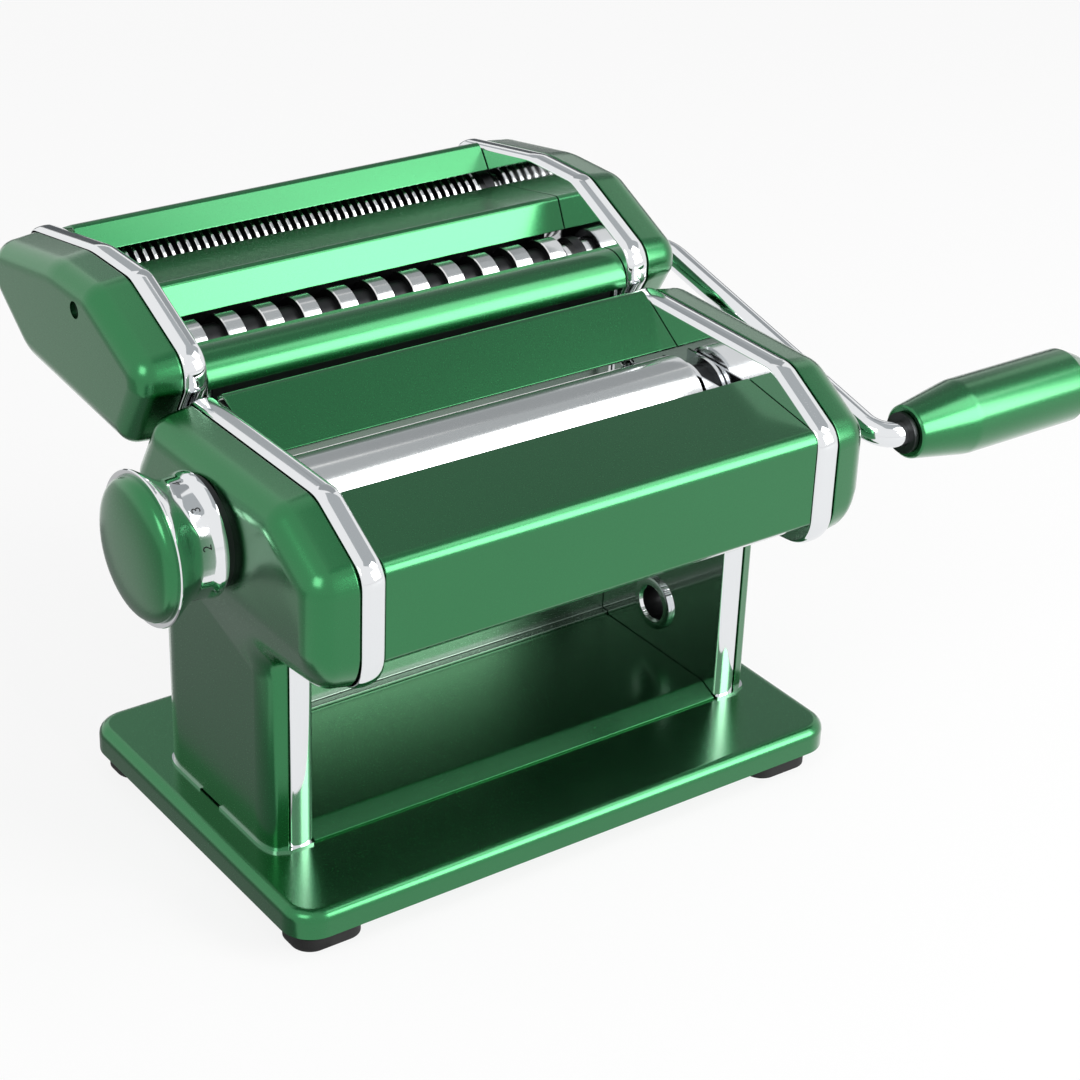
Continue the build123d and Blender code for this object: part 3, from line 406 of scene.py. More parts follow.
BODY_COVER_RADII = [0.3, 0.3, 12, 8, 14, 11, 14, 6]
CRANK_HOLE_MM = 6.8
DIAL_HOLE_MM = 8.05
FACE_DRILL_MM = (LEG_FACE_MM, COVER_FACE_MM + 1)
LEG_DRILL_MM = (COVER_START_MM, LEG_FACE_MM + 1)


def cover_section(rim):
    """Stations of a cover's shell: the hollow first, then clip, rolled edge and domed outside."""
    dome, mouth, clip = HOLLOW_INSETS_MM
    section = [(COVER_FACE_MM - COVER_SHEET_MM, rim + HOLLOW_CORNER_MM),
               (COVER_FACE_MM - rim / 2, dome), (COVER_START_MM, mouth),
               (COVER_START_MM - CLIP_MM, clip), (COVER_START_MM - CLIP_MM, COVER_FIT_MM)]
    section += [(COVER_START_MM + out, inset) for out, inset in ROLLED_EDGE_MM]
    for step in range(RIM_STEPS + 1):
        turn = math.pi / 2 * step / RIM_STEPS
        section.append((COVER_FACE_MM - rim + rim * math.sin(turn),
                        COVER_FIT_MM + rim * (1 - math.cos(turn))))
    return section


def domed_cover(name, corners, radii, rim):
    """Domed shell of a cover, on the crank side."""
    return wrap(name, [outline_loop(corners, radii, inset, x) for x, inset in cover_section(rim)])


def slope_leg(piece):
    """Flatten the leg: cut across at the slope's two ends and draw in what lies below."""
    for height in (SLOPE_TOP_MM, SLOPE_LOW_MM):
        edit_select(piece, lambda co: True)
        bpy.ops.mesh.bisect(plane_co=spot(0, 0, height), plane_no=(0, 0, 1))
    bpy.ops.object.mode_set(mode="OBJECT")
    slope_top, slope_foot = (spot(0, 0, height).z for height in (SLOPE_TOP_MM, SLOPE_LOW_MM))
    start = COVER_START_MM * MM
    drawn_in = (COVER_FACE_MM - LEG_FACE_MM) / (COVER_FACE_MM - COVER_START_MM)
    for vertex in piece.data.vertices:
        if vertex.co.x > start:
            down = max(0, min(1, (slope_top - vertex.co.z) / (slope_top - slope_foot)))
            vertex.co.x = start + (vertex.co.x - start) * (1 - drawn_in * down)


for side in ("left", "right"):
    dome = domed_cover(f"{side}_cover_dome", BODY_COVER_CORNERS, BODY_COVER_RADII, RIM_MM)
    edit_select(dome, lambda co: True)
    bpy.ops.mesh.bisect(plane_co=spot(0, 0, LIP_MM), plane_no=(0, 0, 1), clear_inner=True,
                        use_fill=True)
    slope_leg(dome)
    if side == "right":
        drill(dome, *FACE_DRILL_MM, *FRONT_AXIS_MM, CRANK_HOLE_MM)
        drill(dome, *LEG_DRILL_MM, *EYELET_MM, EYELET_HOLE_MM)
    else:
        drill(dome, *FACE_DRILL_MM, *REAR_AXIS_MM, DIAL_HOLE_MM)
        other_side(dome)
    smooth(dome, angle=40)
    take_up(dome, "frame", "green_aluminium", green_anodised, f"{side}_side_cover")

# Frame feet: a thin chromed lip turned out under each leg, through which the leg is screwed down.
# It shows as a bright line round the foot of the strip and of the cover, notched at the side.
LIP_IN_MM = 75.6
LIP_REACH_MM = 0.6
STRIP_LIP_MM = (-35.5, 30.3)
NOTCH_MM = (-4.5, 7)
NOTCH_DEPTH_MM = 2
lip_front, lip_back = (corner[0] for corner in BODY_COVER_CORNERS[:2])
leg_share = (LEG_FACE_MM - COVER_START_MM) / (COVER_FACE_MM - COVER_START_MM)
lip_edge = [(COVER_START_MM + (x - COVER_START_MM) * leg_share + LIP_REACH_MM, inset - LIP_REACH_MM)
            for x, inset in cover_section(RIM_MM)[-RIM_STEPS - 1:]]
lip_out = lip_edge[-1][0]
lip_plan = ([(LIP_IN_MM, STRIP_LIP_MM[0]), (COVER_START_MM, STRIP_LIP_MM[0])]
            + [(x, lip_front + inset) for x, inset in lip_edge]
            + [(lip_out, NOTCH_MM[0]), (lip_out - NOTCH_DEPTH_MM, NOTCH_MM[0]),
               (lip_out - NOTCH_DEPTH_MM, NOTCH_MM[1]), (lip_out, NOTCH_MM[1])]
            + [(x, lip_back - inset) for x, inset in reversed(lip_edge)]
            + [(COVER_START_MM, STRIP_LIP_MM[1]), (LIP_IN_MM, STRIP_LIP_MM[1])])
for side in ("left", "right"):
    lip = wrap(f"{side}_frame_lip", [[spot(x, y, z) for x, y in lip_plan] for z in (0, LIP_MM)])
    if side == "left":
        other_side(lip)
    smooth(lip)
    take_up(lip, "frame", "chromed_steel", chrome)

# Folded plates between the frames: front cover, hopper plate, exit shelf and back panel.
# Each is bent from thin sheet, with a crisp cut edge and a soft outer bend, and held by the frames.
# The back panel is anodised a greyer shade, as it shows in the opening between the legs.
PLATE_REACH_MM = 74.8
PLATE_MM = 1.2
CUT_EDGE_MM = 0.25
CUT_EDGE_STEPS = 2
CUT_EDGE_ANGLE = 50
GREY_DYE = ("#6f8275", "#75887b")
FRONT_PATH_MM = [(-38.5, 114.8), (-71.6, 109.2), (-71.6, 79.4), (-67.6, 79.4)]
HOPPER_PATH_MM = [(-3.6, 111.3), (14.5, 123.2), (17.5, 121)]
SHELF_PATH_MM = [(-34.4, 0), (-28.2, 2.9), (25.4, 2.9), (25.4, 0)]
PANEL_PATH_MM = [(23, 4.1), (26.6, 4.1), (26.6, 96)]


def bent_path(points, radii):
    """Points along an open path whose inner corners are rounded."""
    flats = [Vector(point) for point in points]
    path = [flats[0]]
    for place, radius in enumerate(radii, 1):
        path += corner_arc(flats[place - 1], flats[place], flats[place + 1], radius)
    return path + [flats[-1]]


def bent_sheet(name, points, radii, thickness, side, reach=PLATE_REACH_MM):
    """A sheet folded along a Y-Z path; side 1 lays it outside the path, and 0 half and half."""
    path = bent_path(points, radii)
    bpy.ops.object.select_all(action="DESELECT")
    bpy.ops.mesh.primitive_grid_add(x_subdivisions=1, y_subdivisions=len(path) - 1)
    piece = bpy.context.object
    piece.name = name
    for row, point in enumerate(path):
        for column, x in enumerate((-reach, reach)):
            piece.data.vertices[2 * row + column].co = spot(x, point.x, point.y)
    apply_modifier(piece, "SOLIDIFY", thickness=thickness * MM, offset=side, use_even_offset=True)
    edit_select(piece, lambda co: True)
    bpy.ops.mesh.normals_make_consistent(inside=False)
    bpy.ops.object.mode_set(mode="OBJECT")
    apply_modifier(piece, "BEVEL", width=CUT_EDGE_MM * MM, segments=CUT_EDGE_STEPS,
                   limit_method="ANGLE", angle_limit=math.radians(CUT_EDGE_ANGLE))
    smooth(piece)
    return piece


grey_anodised = satin_anodised("grey_satin_anodised_aluminium", GREY_DYE)
for name, path, bends, side, finish, node in (
        ("front_cover_sheet", FRONT_PATH_MM, [4.5, 1.4], 1, green_anodised, "front_cover"),
        ("hopper_sheet", HOPPER_PATH_MM, [1.3], 1, green_anodised, "hopper_back_plate"),
        ("exit_shelf_sheet", SHELF_PATH_MM, [2, 1.2], 0, green_anodised, "exit_shelf"),
        ("back_panel_sheet", PANEL_PATH_MM, [1], 0, grey_anodised, "back_panel")):
    sheet = bent_sheet(name, path, bends, PLATE_MM, side)
    take_up(sheet, "frame", "green_aluminium", finish, node)

# Inner works and small fixings: gears, rods, scrapers, combs and screws, which keep their solids.
# Most are plain steel, with fine turning lines round the axis that spread the light into streaks.
# Bushes, cover screws and the grip's washer are left dark and oiled, and the guides are chromed.
TURNING_LINE_MM = 0.35
TURNING_STRETCH = (1.0, 0.06, 0.06)
TURNING_DEPTH_MM = 0.02
TURNING_STRENGTH = 0.05
STEEL_SHADE = "#e4e5e5"
STEEL_ROUGHNESS = (0.1, 0.2)
OIL_PATCH_MM = 3
DARK_STEEL_AND_PAINTED_SHADE_COLOUR = "#3a3b3c"
OIL_ROUGHNESS = (0.28, 0.5)
steel, tree = bare_material("plain_turned_steel")
lines = noise(tree, TURNING_LINE_MM, stretch=TURNING_STRETCH)
end_in_surface(tree, {"Base Color": linear(STEEL_SHADE), "Metallic": 1.0,
                      "Roughness": spread(tree, lines, STEEL_ROUGHNESS),
                      "Normal": relief(tree, lines, TURNING_STRENGTH, TURNING_DEPTH_MM)})
# Dark oiled steel, also used as painted shade in the eyelet's bore, the cutters' grooves and the
# sheets under the cutter nose and ridge.
dark_steel_and_painted_shade, tree = bare_material("dark_oiled_steel_and_painted_shade")
oil = noise(tree, OIL_PATCH_MM, detail=3.0)
end_in_surface(tree, {"Base Color": linear(DARK_STEEL_AND_PAINTED_SHADE_COLOUR), "Metallic": 1.0,
                      "Roughness": spread(tree, oil, OIL_ROUGHNESS)})
dress(chrome, "left_sheet_guide", "right_sheet_guide")
dress(dark_steel_and_painted_shade, "front_roller_bushes", "rear_roller_bushes", "dial_index_plate", "cutter_bushes",
      "cutter_cover_screws", "grip_washer")
dress(steel, "leg_screws", "tie_rods", "front_scraper", "rear_scraper", "left_cutter_rail",
      "right_cutter_rail", "front_roller_gear", "rear_roller_gear", "dial_pin", "dial_spring",
      "dial_shaft", "dial_cam", "wide_comb", "fine_comb", "cutter_tie_rods", "wide_gear_rear",
      "wide_gear_front", "fine_gear_rear", "fine_gear_front", "crank_pin")

# Rollers: two smooth steel barrels turned to a fine polish, with stepped journals in the bushes.
# The driven one ends in the crank socket, bored and slotted for the crank's cross pin.
TURN_STEPS = 96
ROLLER_MM = 14
ROLLER_HALF_MM = 69
ROLLER_EDGE_MM = 0.6
LEFT_JOURNAL_MM = 5
RIGHT_JOURNAL_MM = 6.5
DRIVEN_END_MM = -79
IDLE_ENDS_MM = (-78, 84.5)
ROLLER_SOCKET_MM = [(95.9, 6.5), (96.5, 5.9), (96.5, 4.5), (96.1, 4.1), (84, 4.1), (84, 0)]
SLOT_PLACE_MM = 95
SLOT_SIZE_MM = (5, 20, 2.4)


def turned(name, outline, y, z, steps=TURN_STEPS):
    """Turn an outline of X stations and radii about an axis along X."""
    loops = []
    for x, radius in outline:
        angles = [2 * math.pi * step / steps for step in range(steps)]
        loops.append([spot(x, y + radius * math.cos(angle), z + radius * math.sin(angle))
                      for angle in angles])
    return wrap(name, loops)


def slot_mouth(piece, y, z):
    """Cut the crank pin's slot across a socket's mouth."""
    bpy.ops.object.select_all(action="DESELECT")
    bpy.ops.mesh.primitive_cube_add(size=1, location=spot(SLOT_PLACE_MM, y, z),
                                    scale=Vector(SLOT_SIZE_MM) * MM)
    cut_away(piece, bpy.context.object)


barrel = [(-ROLLER_HALF_MM, LEFT_JOURNAL_MM), (-ROLLER_HALF_MM, ROLLER_MM - ROLLER_EDGE_MM),
          (-ROLLER_HALF_MM + ROLLER_EDGE_MM, ROLLER_MM), (ROLLER_HALF_MM - ROLLER_EDGE_MM, ROLLER_MM),
          (ROLLER_HALF_MM, ROLLER_MM - ROLLER_EDGE_MM), (ROLLER_HALF_MM, RIGHT_JOURNAL_MM)]
driven_start = [(DRIVEN_END_MM, 0), (DRIVEN_END_MM, LEFT_JOURNAL_MM)]
driven = turned("front_roller_barrel", driven_start + barrel + ROLLER_SOCKET_MM, *FRONT_AXIS_MM)
slot_mouth(driven, *FRONT_AXIS_MM)
smooth(driven)
take_up(driven, "front_roller", "roller_metal", steel, "front_roller")
idle_start = [(IDLE_ENDS_MM[0], 0), (IDLE_ENDS_MM[0], LEFT_JOURNAL_MM)]
idle_stop = [(IDLE_ENDS_MM[1], RIGHT_JOURNAL_MM), (IDLE_ENDS_MM[1], 0)]
idle = turned("rear_roller_barrel", idle_start + barrel + idle_stop, *REAR_AXIS_MM)
smooth(idle)
take_up(idle, "rear_roller", "roller_metal", steel, "rear_roller")

# Clamp eyelet: a chromed flanged tube through the right leg, rolled over at its inner end.
# Its bore is given painted shade: a dark finish inside the tube.
EYELET_STEPS = 64
EYELET_OUTLINE_MM = [(73.8, 5.9), (73.4, 6.3), (73.4, 8.2), (73.8, 8.9), (74.6, 9), (75, 8.9),
                     (75, 7), (89.8, 7), (90.2, 6.6), (90.2, 5.9), (89.8, 5.5), (74.3, 5.5),
                     (73.8, 5.9)]
EYELET_REACH_MM = 91
BORE_PAINTED_SHADE_MM = 5.6


def shade_within(piece, material, y, z, radius, reach):
    """Paint shade: give a second, dark finish to the faces near an axis along X, as far as a reach to
    each side.
    """
    piece.data.materials.append(material)
    for face in piece.data.polygons:
        away = face.center - spot(face.center.x / MM, y, z)
        near = away.length < radius * MM and abs(face.center.x) < reach * MM
        face.material_index = int(near)


eyelet = turned("clamp_eyelet_tube", EYELET_OUTLINE_MM, *EYELET_MM, EYELET_STEPS)
smooth(eyelet)
take_up(eyelet, "frame", "chromed_steel", chrome, "clamp_eyelet")
# Painted shade: the faces of the bore take the dark steel.
shade_within(eyelet, dark_steel_and_painted_shade, *EYELET_MM, BORE_PAINTED_SHADE_MM, EYELET_REACH_MM)

# Thickness dial: a chromed ring that flares to its rim, closed by a domed green cap.
# It sits on the dial shaft and is pulled out against a spring to be turned.
NECK_MM = 17.4
DIAL_OUTLINE_MM = [(-99.3, 15), (-99.3, 17.8), (-99.6, 18.2), (-100.6, 18.3), (-101.6, 18),
                   (-102.6, 17.6), (-103.6, NECK_MM), (-107, NECK_MM), (-108.2, 17.6),
                   (-109.6, 18.2), (-111.4, 19.4), (-113.2, 20.7), (-114.8, 21.8), (-115.6, 22.25),
                   (-116.2, 22.4), (-116.6, 22.2), (-116.6, 20.4), (-113.1, 15), (-104.5, 15),
                   (-104.5, 5.05), (-101.5, 5.05), (-101.5, 15), (-99.3, 15)]
CAP_SEAT_MM = [(-113.2, 12.7), (-113.2, 14.9), (-116.4, 20.1), (-116.7, 20.6)]
CAP_HOLLOW_MM = [(-119.6, 0), (-116.5, 12.7), (-113.2, 12.7)]
CAP_START_MM = -116.6
CAP_RIM_MM = 20.7
CAP_DOME_MM = 5.4
CAP_STEPS = 10
CAP_RISE_POWER = 0.8
CAP_RIM_POWER = 0.75
ring = turned("dial_chrome_ring", DIAL_OUTLINE_MM, *REAR_AXIS_MM)
smooth(ring)
take_up(ring, "dial_knob", "chromed_steel", chrome, "dial_ring")
cap_outline = list(CAP_SEAT_MM)
for step in range(CAP_STEPS + 1):
    turn = math.pi / 2 * step / CAP_STEPS
    cap_outline.append((CAP_START_MM - CAP_DOME_MM * math.sin(turn) ** CAP_RISE_POWER,
                        CAP_RIM_MM * math.cos(turn) ** CAP_RIM_POWER))
cap = turned("dial_green_cap", cap_outline + CAP_HOLLOW_MM, *REAR_AXIS_MM)
smooth(cap, angle=60)
take_up(cap, "dial_knob", "green_aluminium", green_anodised, "dial_cap")

# Dial numbers: ten digits stamped round the neck and filled with black enamel.
# Each is wrapped on the neck and stands a hair proud of it, with its top to the cap.
DIGIT_MM = 3.8
DIGIT_PLACE_MM = -105.3
DIGIT_PROUD_MM = 0.03
FIRST_DIGIT_TURN = 236
DIGIT_TURN = 36
ENAMEL_GRAIN_MM = 0.3
ENAMEL_SHADE = "#0c0d0d"
ENAMEL_ROUGHNESS = (0.3, 0.45)
enamel, tree = bare_material("black_enamel_fill")
speck = noise(tree, ENAMEL_GRAIN_MM)
end_in_surface(tree, {"Base Color": linear(ENAMEL_SHADE),
                      "Roughness": spread(tree, speck, ENAMEL_ROUGHNESS)})
digits = []
for number in range(10):
    bpy.ops.object.select_all(action="DESELECT")
    bpy.ops.object.text_add(location=(0, 0, 0))
    digit = bpy.context.object
    digit.data.body = str(number)
    digit.data.size = DIGIT_MM * MM
    digit.data.extrude = DIGIT_PROUD_MM * MM
    digit.data.align_x = "CENTER"
    digit.data.align_y = "CENTER"
    bpy.ops.object.convert(target="MESH")
    digit = bpy.context.object
    for vertex in digit.data.vertices:
        turn = math.radians(FIRST_DIGIT_TURN - DIGIT_TURN * number)
        angle = turn - vertex.co.x / (NECK_MM * MM)
        radius = NECK_MM + vertex.co.z / MM
        vertex.co = spot(DIGIT_PLACE_MM - vertex.co.y / MM,
                         REAR_AXIS_MM[0] + radius * math.cos(angle),
                         REAR_AXIS_MM[1] + radius * math.sin(angle))
    digits.append(digit)
bpy.ops.object.select_all(action="DESELECT")
for digit in digits:
    digit.select_set(True)
bpy.context.view_layer.objects.active = digits[0]
bpy.ops.object.join()
numbers = bpy.context.object
numbers.name = "dial_numbers"
take_up(numbers, "dial_knob", "roller_metal", enamel)

# Cutter unit: its own pair of flanged steel frames and domed covers, with a screw in each cover.
# A tongue on each frame's inner face drops into a rail inside the machine's own side frame.
CUTTER_CORNERS = [(21.5, 133.4), (21.5, 123.4), (33.5, 102.4), (98, 107.4), (121, 124),
                  (121, 140.9), (78, 148.4), (54, 148.4)]
CUTTER_RADII = [9, 5, 5, 18, 14, 6, 30, 10]
CUTTER_RIM_MM = 7
CUTTER_COVER_RADII = [10, 7, 7, 18, 14, 11, 40, 14]
WIDE_REAR_MM = (52.51, 120.79)
WIDE_FRONT_MM = (38.6, 112.2)
FINE_REAR_MM = (104.5, 126.4)
FINE_FRONT_MM = (88.53, 122.92)
CUTTER_HOLE_MM = {"left": 5.65, "right": 7.85}
SCREW_MM = (61.2, 137.7)
SCREW_HOLE_MM = 2.65
SOCKET_HOLE_MM = 6.5
DOME_DRILL_MM = (COVER_START_MM, COVER_FACE_MM + 1)
TONGUE_CORNERS = [(19, 71.5), (24.5, 71.5), (24.5, 97), (28.8, 111.5), (29.1, 116.5), (29.1, 122),
                  (25.5, 122), (25.5, 116.5), (21.75, 98.2), (19, 97)]
TONGUE_SPAN_MM = (72.4, 73.8)
for side in ("left", "right"):
    plate = flanged_plate(f"cutter_{side}_frame_plate", CUTTER_CORNERS, CUTTER_RADII)
    for axis in (WIDE_REAR_MM, WIDE_FRONT_MM, FINE_REAR_MM, FINE_FRONT_MM):
        drill(plate, *WALL_DRILL_MM, *axis, CUTTER_HOLE_MM[side])
    dome = domed_cover(f"cutter_{side}_cover_dome", CUTTER_CORNERS, CUTTER_COVER_RADII,
                       CUTTER_RIM_MM)
    drill(dome, *DOME_DRILL_MM, *SCREW_MM, SCREW_HOLE_MM)
    tongue = wrap(f"cutter_{side}_tongue",
                  [[spot(x, *corner) for corner in TONGUE_CORNERS] for x in TONGUE_SPAN_MM])
    if side == "right":
        for axis in (WIDE_REAR_MM, FINE_REAR_MM):
            drill(dome, *DOME_DRILL_MM, *axis, SOCKET_HOLE_MM)
    else:
        for piece in (plate, dome, tongue):
            other_side(piece)
    apply_modifier(tongue, "BEVEL", width=CUT_EDGE_MM * MM, segments=CUT_EDGE_STEPS,
                   limit_method="ANGLE")
    smooth(plate)
    smooth(dome, angle=40)
    smooth(tongue)
    take_up(plate, "cutter_unit", "chromed_steel", chrome, f"cutter_{side}_frame")
    take_up(dome, "cutter_unit", "green_aluminium", green_anodised, f"cutter_{side}_cover")
    take_up(tongue, "cutter_unit", "chromed_steel", chrome, f"cutter_{side}_frame")

# Cutter unit's plates: three green folded sheets that close its top between the pairs of cutters.
# Two dark steel sheets hang under the nose and the ridge, as painted shade that fills the gaps below
# them with dark.
CUTTER_PLATE_MM = 1.0
SHADE_SHEET_REACH_MM = 71.5
NOSE_PATH_MM = [(36, 131.2), (22.6, 133.6), (22.6, 122.2)]
RIDGE_PATH_MM = [(57.3, 129.9), (61.5, 139), (91, 133.4)]
REAR_PATH_MM = [(101, 136.1), (106.2, 143.4), (119.4, 137), (119.4, 122)]
NOSE_SHADE_SHEET_PATH_MM = [(23.6, 122.6), (26.8, 121.4), (26.8, 114)]
RIDGE_SHADE_SHEET_PATH_MM = [(58.4, 130), (62.9, 128.2), (62.9, 119)]
for name, path, bends, node in (
        ("cutter_nose_sheet", NOSE_PATH_MM, [9], "cutter_nose"),
        ("cutter_ridge_sheet", RIDGE_PATH_MM, [1.1], "cutter_ridge"),
        ("cutter_rear_sheet", REAR_PATH_MM, [1.1, 4], "cutter_rear_plate")):
    sheet = bent_sheet(name, path, bends, CUTTER_PLATE_MM, 1)
    take_up(sheet, "cutter_unit", "green_aluminium", green_anodised, node)
# Painted shade: dark sheets in the gaps under the nose and the ridge.
for name, path, bends, node in (
        ("cutter_nose_shade_sheet", NOSE_SHADE_SHEET_PATH_MM, [0.8], "cutter_nose"),
        ("cutter_ridge_shade_sheet", RIDGE_SHADE_SHEET_PATH_MM, [0.8], "cutter_ridge")):
    sheet = bent_sheet(name, path, bends, CUTTER_PLATE_MM, 0, SHADE_SHEET_REACH_MM)
    take_up(sheet, "cutter_unit", "roller_metal", dark_steel_and_painted_shade, node)

# Cutters: grooved steel rollers in pairs, each one's rings running in the other's grooves.
# The wide pair cuts broad ribbons and the fine pair thin ones; the grooves are painted dark, as
# painted shade.
RING_MM = 9.2
RING_EDGE_MM = 0.3
RING_EDGE_SHARE = 1 / 6
RING_PLAY_MM = 0.18
CORE_MM = 6.6
GROOVE_PAINTED_SHADE_MM = 8.4
CUTTER_HALF_MM = 70
CUTTER_STEPS = 48
WIDE_PITCH_MM = 13
FINE_PITCH_MM = 3
LEFT_END_MM = [(-78, 0), (-78, 4), (-CUTTER_HALF_MM, 4)]
PLAIN_END_MM = [(CUTTER_HALF_MM, 6.2), (78, 6.2), (78, 0)]
SOCKET_END_MM = [(CUTTER_HALF_MM, 6.2), (96, 6.2), (96.5, 5.7), (96.5, 4.5), (96.1, 4.1),
                 (84, 4.1), (84, 0)]


def ringed_outline(pitch, shifted, right_end):
    """X stations and radii of a grooved cutter and its journals."""
    half = pitch / 4 - RING_PLAY_MM
    edge = min(RING_EDGE_MM, 2 * half * RING_EDGE_SHARE)
    count = int(CUTTER_HALF_MM / pitch)
    outline = LEFT_END_MM + [(-CUTTER_HALF_MM, CORE_MM)]
    for index in range(-count, count + (0 if shifted else 1)):
        middle = (index + (0.5 if shifted else 0)) * pitch
        outline += [(middle - half, CORE_MM), (middle - half, RING_MM - edge),
                    (middle - half + edge, RING_MM), (middle + half - edge, RING_MM),
                    (middle + half, RING_MM - edge), (middle + half, CORE_MM)]
    return outline + [(CUTTER_HALF_MM, CORE_MM)] + right_end


for kind, row, axis, pitch in (("wide", "rear", WIDE_REAR_MM, WIDE_PITCH_MM),
                               ("wide", "front", WIDE_FRONT_MM, WIDE_PITCH_MM),
                               ("fine", "rear", FINE_REAR_MM, FINE_PITCH_MM),
                               ("fine", "front", FINE_FRONT_MM, FINE_PITCH_MM)):
    has_socket = row == "rear"
    outline = ringed_outline(pitch, not has_socket, SOCKET_END_MM if has_socket else PLAIN_END_MM)
    cutter = turned(f"{kind}_{row}_cutter_rings", outline, *axis, CUTTER_STEPS)
    if has_socket:
        slot_mouth(cutter, *axis)
    smooth(cutter)
    take_up(cutter, f"{kind}_{row}", "roller_metal", steel, f"{kind}_cutter_{row}")
    # Painted shade: the faces down in the grooves take the dark steel.
    shade_within(cutter, dark_steel_and_painted_shade, *axis, GROOVE_PAINTED_SHADE_MM, CUTTER_HALF_MM)

# Crank: a chromed rod bent twice, with a turned green grip that spins on its end.
# A cross pin at the other end drives the socket that it is pushed into.
ROD_MM = 4
ROD_STEPS = 32
ROD_BENDS_MM = (12, 8)
ROD_SPAN_MM = (84.3, 186)
ARM_X_MM = 110
GRIP_AXIS_MM = (-61.5, 95.1)
GRIP_OUTLINE_MM = [(187, 4.1), (120, 4.1), (120, 7.9), (120.4, 8.4), (121, 8.6), (140, 11.8),
                   (142, 12), (186.5, 12), (187.3, 11.7), (192.4, 9.2), (193, 8.6), (193, 5.05),
                   (187, 5.05), (187, 4.1)]
rod_corners = [spot(ROD_SPAN_MM[0], *WIDE_REAR_MM), spot(ARM_X_MM, *WIDE_REAR_MM),
               spot(ARM_X_MM, *GRIP_AXIS_MM), spot(ROD_SPAN_MM[1], *GRIP_AXIS_MM)]
rod_path = [rod_corners[0]]
for place, bend in enumerate(ROD_BENDS_MM, 1):
    rod_path += corner_arc(*rod_corners[place - 1:place + 2], bend * MM)
rod_path.append(rod_corners[-1])
first_leg, arm = rod_corners[1] - rod_corners[0], rod_corners[2] - rod_corners[1]
arm_normal = first_leg.cross(arm).normalized()
rod_loops = []
for place, point in enumerate(rod_path):
    ahead = rod_path[min(place + 1, len(rod_path) - 1)] - rod_path[max(place - 1, 0)]
    across = ahead.cross(arm_normal).normalized()
    angles = [2 * math.pi * step / ROD_STEPS for step in range(ROD_STEPS)]
    rod_loops.append([point + (across * math.cos(angle) + arm_normal * math.sin(angle)) * ROD_MM * MM
                      for angle in angles])
rod = wrap("crank_bent_rod", rod_loops)
smooth(rod, angle=60)
take_up(rod, "crank", "chromed_steel", chrome, "crank_rod")
grip = turned("crank_grip_body", GRIP_OUTLINE_MM, *GRIP_AXIS_MM)
smooth(grip, angle=25)
take_up(grip, "grip", "green_aluminium", green_anodised, "crank_grip")
dress(green_anodised, "grip_plug")

# Studio: a white paper floor that runs into a white surround, under three soft lamps.
# Grey cards stand out of the picture, where the metal mirrors them.
FLOOR_M = 12
FLOOR_GLOW = 0.85
FLOOR_ROUGHNESS = 0.9
SURROUND_LIGHT = 0.5
LOWER_CARD_M = 0.0003
UPPER_CARD_M = 0.0005
AIM = (0.02, 0.04, 0.07)
floor_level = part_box("rubber_feet")[0].z
CARDS = (
    ("dark_card_behind", (1.1, 1.7, 0.22), AIM, (2.6, 0.5), "#5d6163"),
    ("grey_card_above", (0.8, -0.2, 1.4), AIM, (1.3, 1.1), "#b6babc"),
    # Painted shadow: a grey card on the floor beside the machine, seen only in the metal, darkens the
    # floor's reflection where the machine shades it.
    ("painted_floor_shadow_card", (-0.13, 0.1, floor_level + UPPER_CARD_M), (-0.13, 0.1, 1), (0.09, 0.3),
     "#8a8c8c"),
    ("pale_card_left", (-0.7, 0.8, floor_level + LOWER_CARD_M), (-0.7, 0.8, 1), (1.2, 1.6),
     "#c6c6c6"),
    ("grey_card_back", (0.95, 1.35, 0.92), AIM, (1.2, 0.6), "#aeb2b4"),
    ("grey_card_over", (0.82, 0.84, 1.12), AIM, (0.8, 0.8), "#a2a6a8"))
LAMPS = (("key_softbox", (0.64, -0.86, 0.48), 0.62, 9),
         ("top_softbox", (0.62, -0.46, 0.88), 0.45, 2.2),
         ("fill_softbox", (-0.9, -0.5, 0.9), 0.6, 4))


def face_along(thing, way):
    """Turn a thing so that its own Z axis runs along a direction."""
    thing.rotation_mode = "QUATERNION"
    thing.rotation_quaternion = way.to_track_quat("Z", "Y")


bpy.ops.object.select_all(action="DESELECT")
bpy.ops.mesh.primitive_plane_add(size=FLOOR_M, location=(0, 0, floor_level))
floor = bpy.context.object
floor.name = "studio_floor"
floor_paper, tree = bare_material("white_paper_floor")
surface = add_node(tree, "ShaderNodeBsdfPrincipled", None,
                   {"Base Color": linear("#f4f4f4"), "Roughness": FLOOR_ROUGHNESS})
white = add_node(tree, "ShaderNodeEmission", None, {"Color": linear("#ffffff"), "Strength": 1.0})
mixed = add_node(tree, "ShaderNodeMixShader", None,
                 {0: FLOOR_GLOW, 1: surface.outputs["BSDF"], 2: white.outputs["Emission"]})
add_node(tree, "ShaderNodeOutputMaterial", None, {"Surface": mixed.outputs["Shader"]})
floor.data.materials.append(floor_paper)

for name, place, aim, size, shade in CARDS:
    bpy.ops.object.select_all(action="DESELECT")
    bpy.ops.mesh.primitive_plane_add(size=1, location=place)
    sheet = bpy.context.object
    sheet.name = name
    sheet.scale = (*size, 1)
    face_along(sheet, Vector(aim) - Vector(place))
    material, tree = bare_material(name)
    glow = add_node(tree, "ShaderNodeEmission", None, {"Color": linear(shade), "Strength": 1.0})
    add_node(tree, "ShaderNodeOutputMaterial", None, {"Surface": glow.outputs["Emission"]})
    sheet.data.materials.append(material)
    sheet.visible_camera = False
    sheet.visible_diffuse = False
    sheet.visible_shadow = False

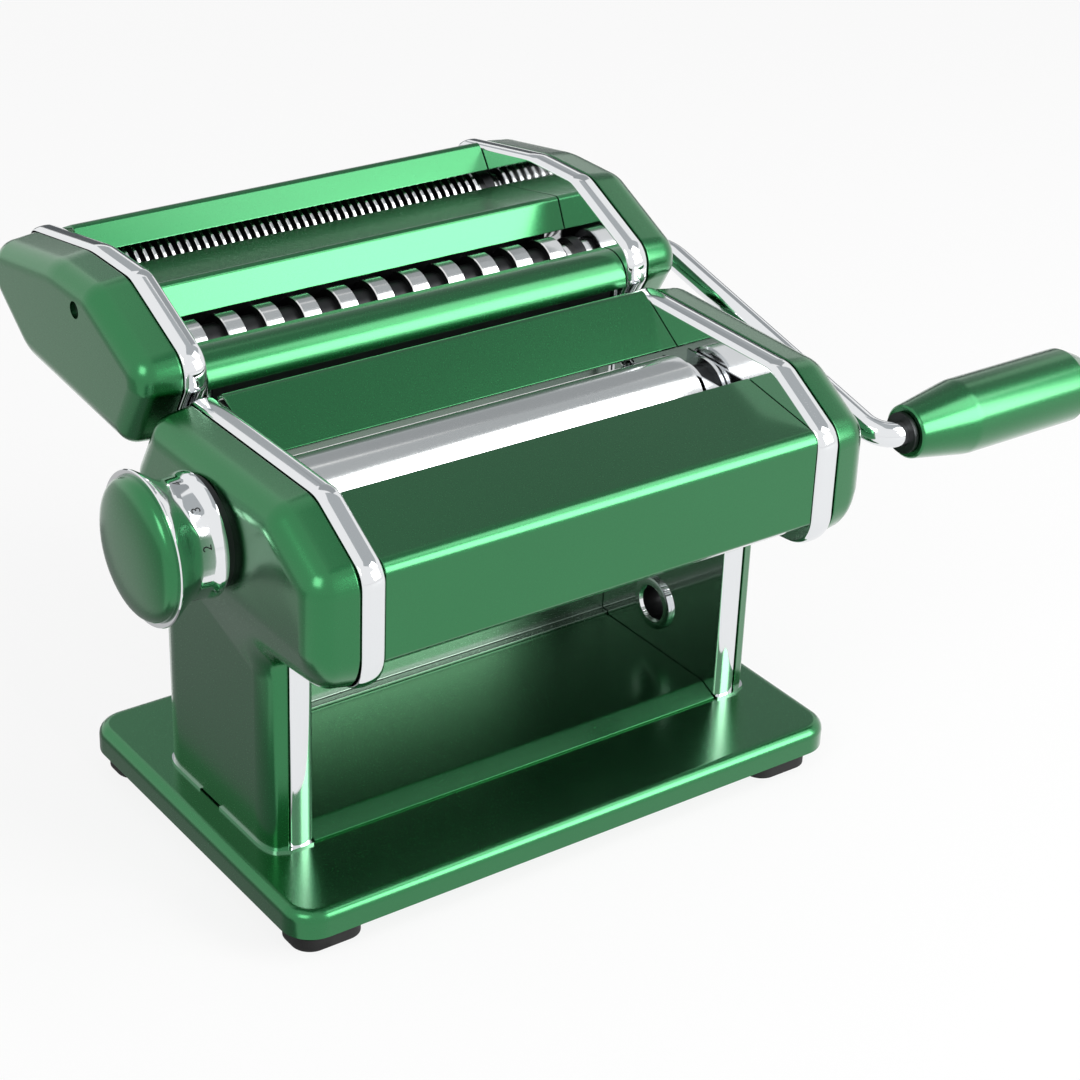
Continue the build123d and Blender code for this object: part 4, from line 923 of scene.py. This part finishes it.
world = bpy.data.worlds.new("studio_light")
bpy.context.scene.world = world
world.use_nodes = True
tree = world.node_tree
tree.nodes.clear()
rays = add_node(tree, "ShaderNodeLightPath")
seen = add_node(tree, "ShaderNodeMath", {"operation": "MAXIMUM"},
                {0: rays.outputs["Is Camera Ray"], 1: rays.outputs["Is Glossy Ray"]})
soft = add_node(tree, "ShaderNodeBackground", None,
                {"Color": linear("#ffffff"), "Strength": SURROUND_LIGHT})
backdrop = add_node(tree, "ShaderNodeBackground", None,
                    {"Color": linear("#ffffff"), "Strength": 1.0})
mixed = add_node(tree, "ShaderNodeMixShader", None,
                 {0: seen.outputs["Value"], 1: soft.outputs["Background"],
                  2: backdrop.outputs["Background"]})
add_node(tree, "ShaderNodeOutputWorld", None, {"Surface": mixed.outputs["Shader"]})

for name, place, size, watts in LAMPS:
    lamp = bpy.data.lights.new(name, "AREA")
    lamp.shape = "SQUARE"
    lamp.size = size
    lamp.energy = watts
    softbox = bpy.data.objects.new(name, lamp)
    bpy.context.scene.collection.objects.link(softbox)
    softbox.location = place
    face_along(softbox, Vector(place) - Vector(AIM))

# Camera: the photograph's own viewpoint, fitted to the machine's paired edges.
# It looks down from the front left through a long lens, with a slight roll.
CAMERA_PLACE = spot(-403.8, -580.72, 441.1)
AZIMUTH, ELEVATION, ROLL = (math.radians(angle) for angle in (-36.65, 28.06, 2.37))
LENS_MM = 87.7
SENSOR_MM = 36
backwards = Vector((math.sin(AZIMUTH) * math.cos(ELEVATION),
                    -math.cos(AZIMUTH) * math.cos(ELEVATION), math.sin(ELEVATION)))
level = Vector((math.cos(AZIMUTH), math.sin(AZIMUTH), 0))
upright = backwards.cross(level)
right = level * math.cos(ROLL) + upright * math.sin(ROLL)
up = upright * math.cos(ROLL) - level * math.sin(ROLL)
turned_to = Matrix((right, up, backwards)).transposed().to_4x4()
lens = bpy.data.cameras.new("photo_camera")
lens.lens = LENS_MM
lens.sensor_width = SENSOR_MM
camera = bpy.data.objects.new("photo_camera", lens)
bpy.context.scene.collection.objects.link(camera)
camera.matrix_world = Matrix.Translation(CAMERA_PLACE) @ turned_to
bpy.context.scene.camera = camera
bpy.context.scene.view_settings.view_transform = "Standard"
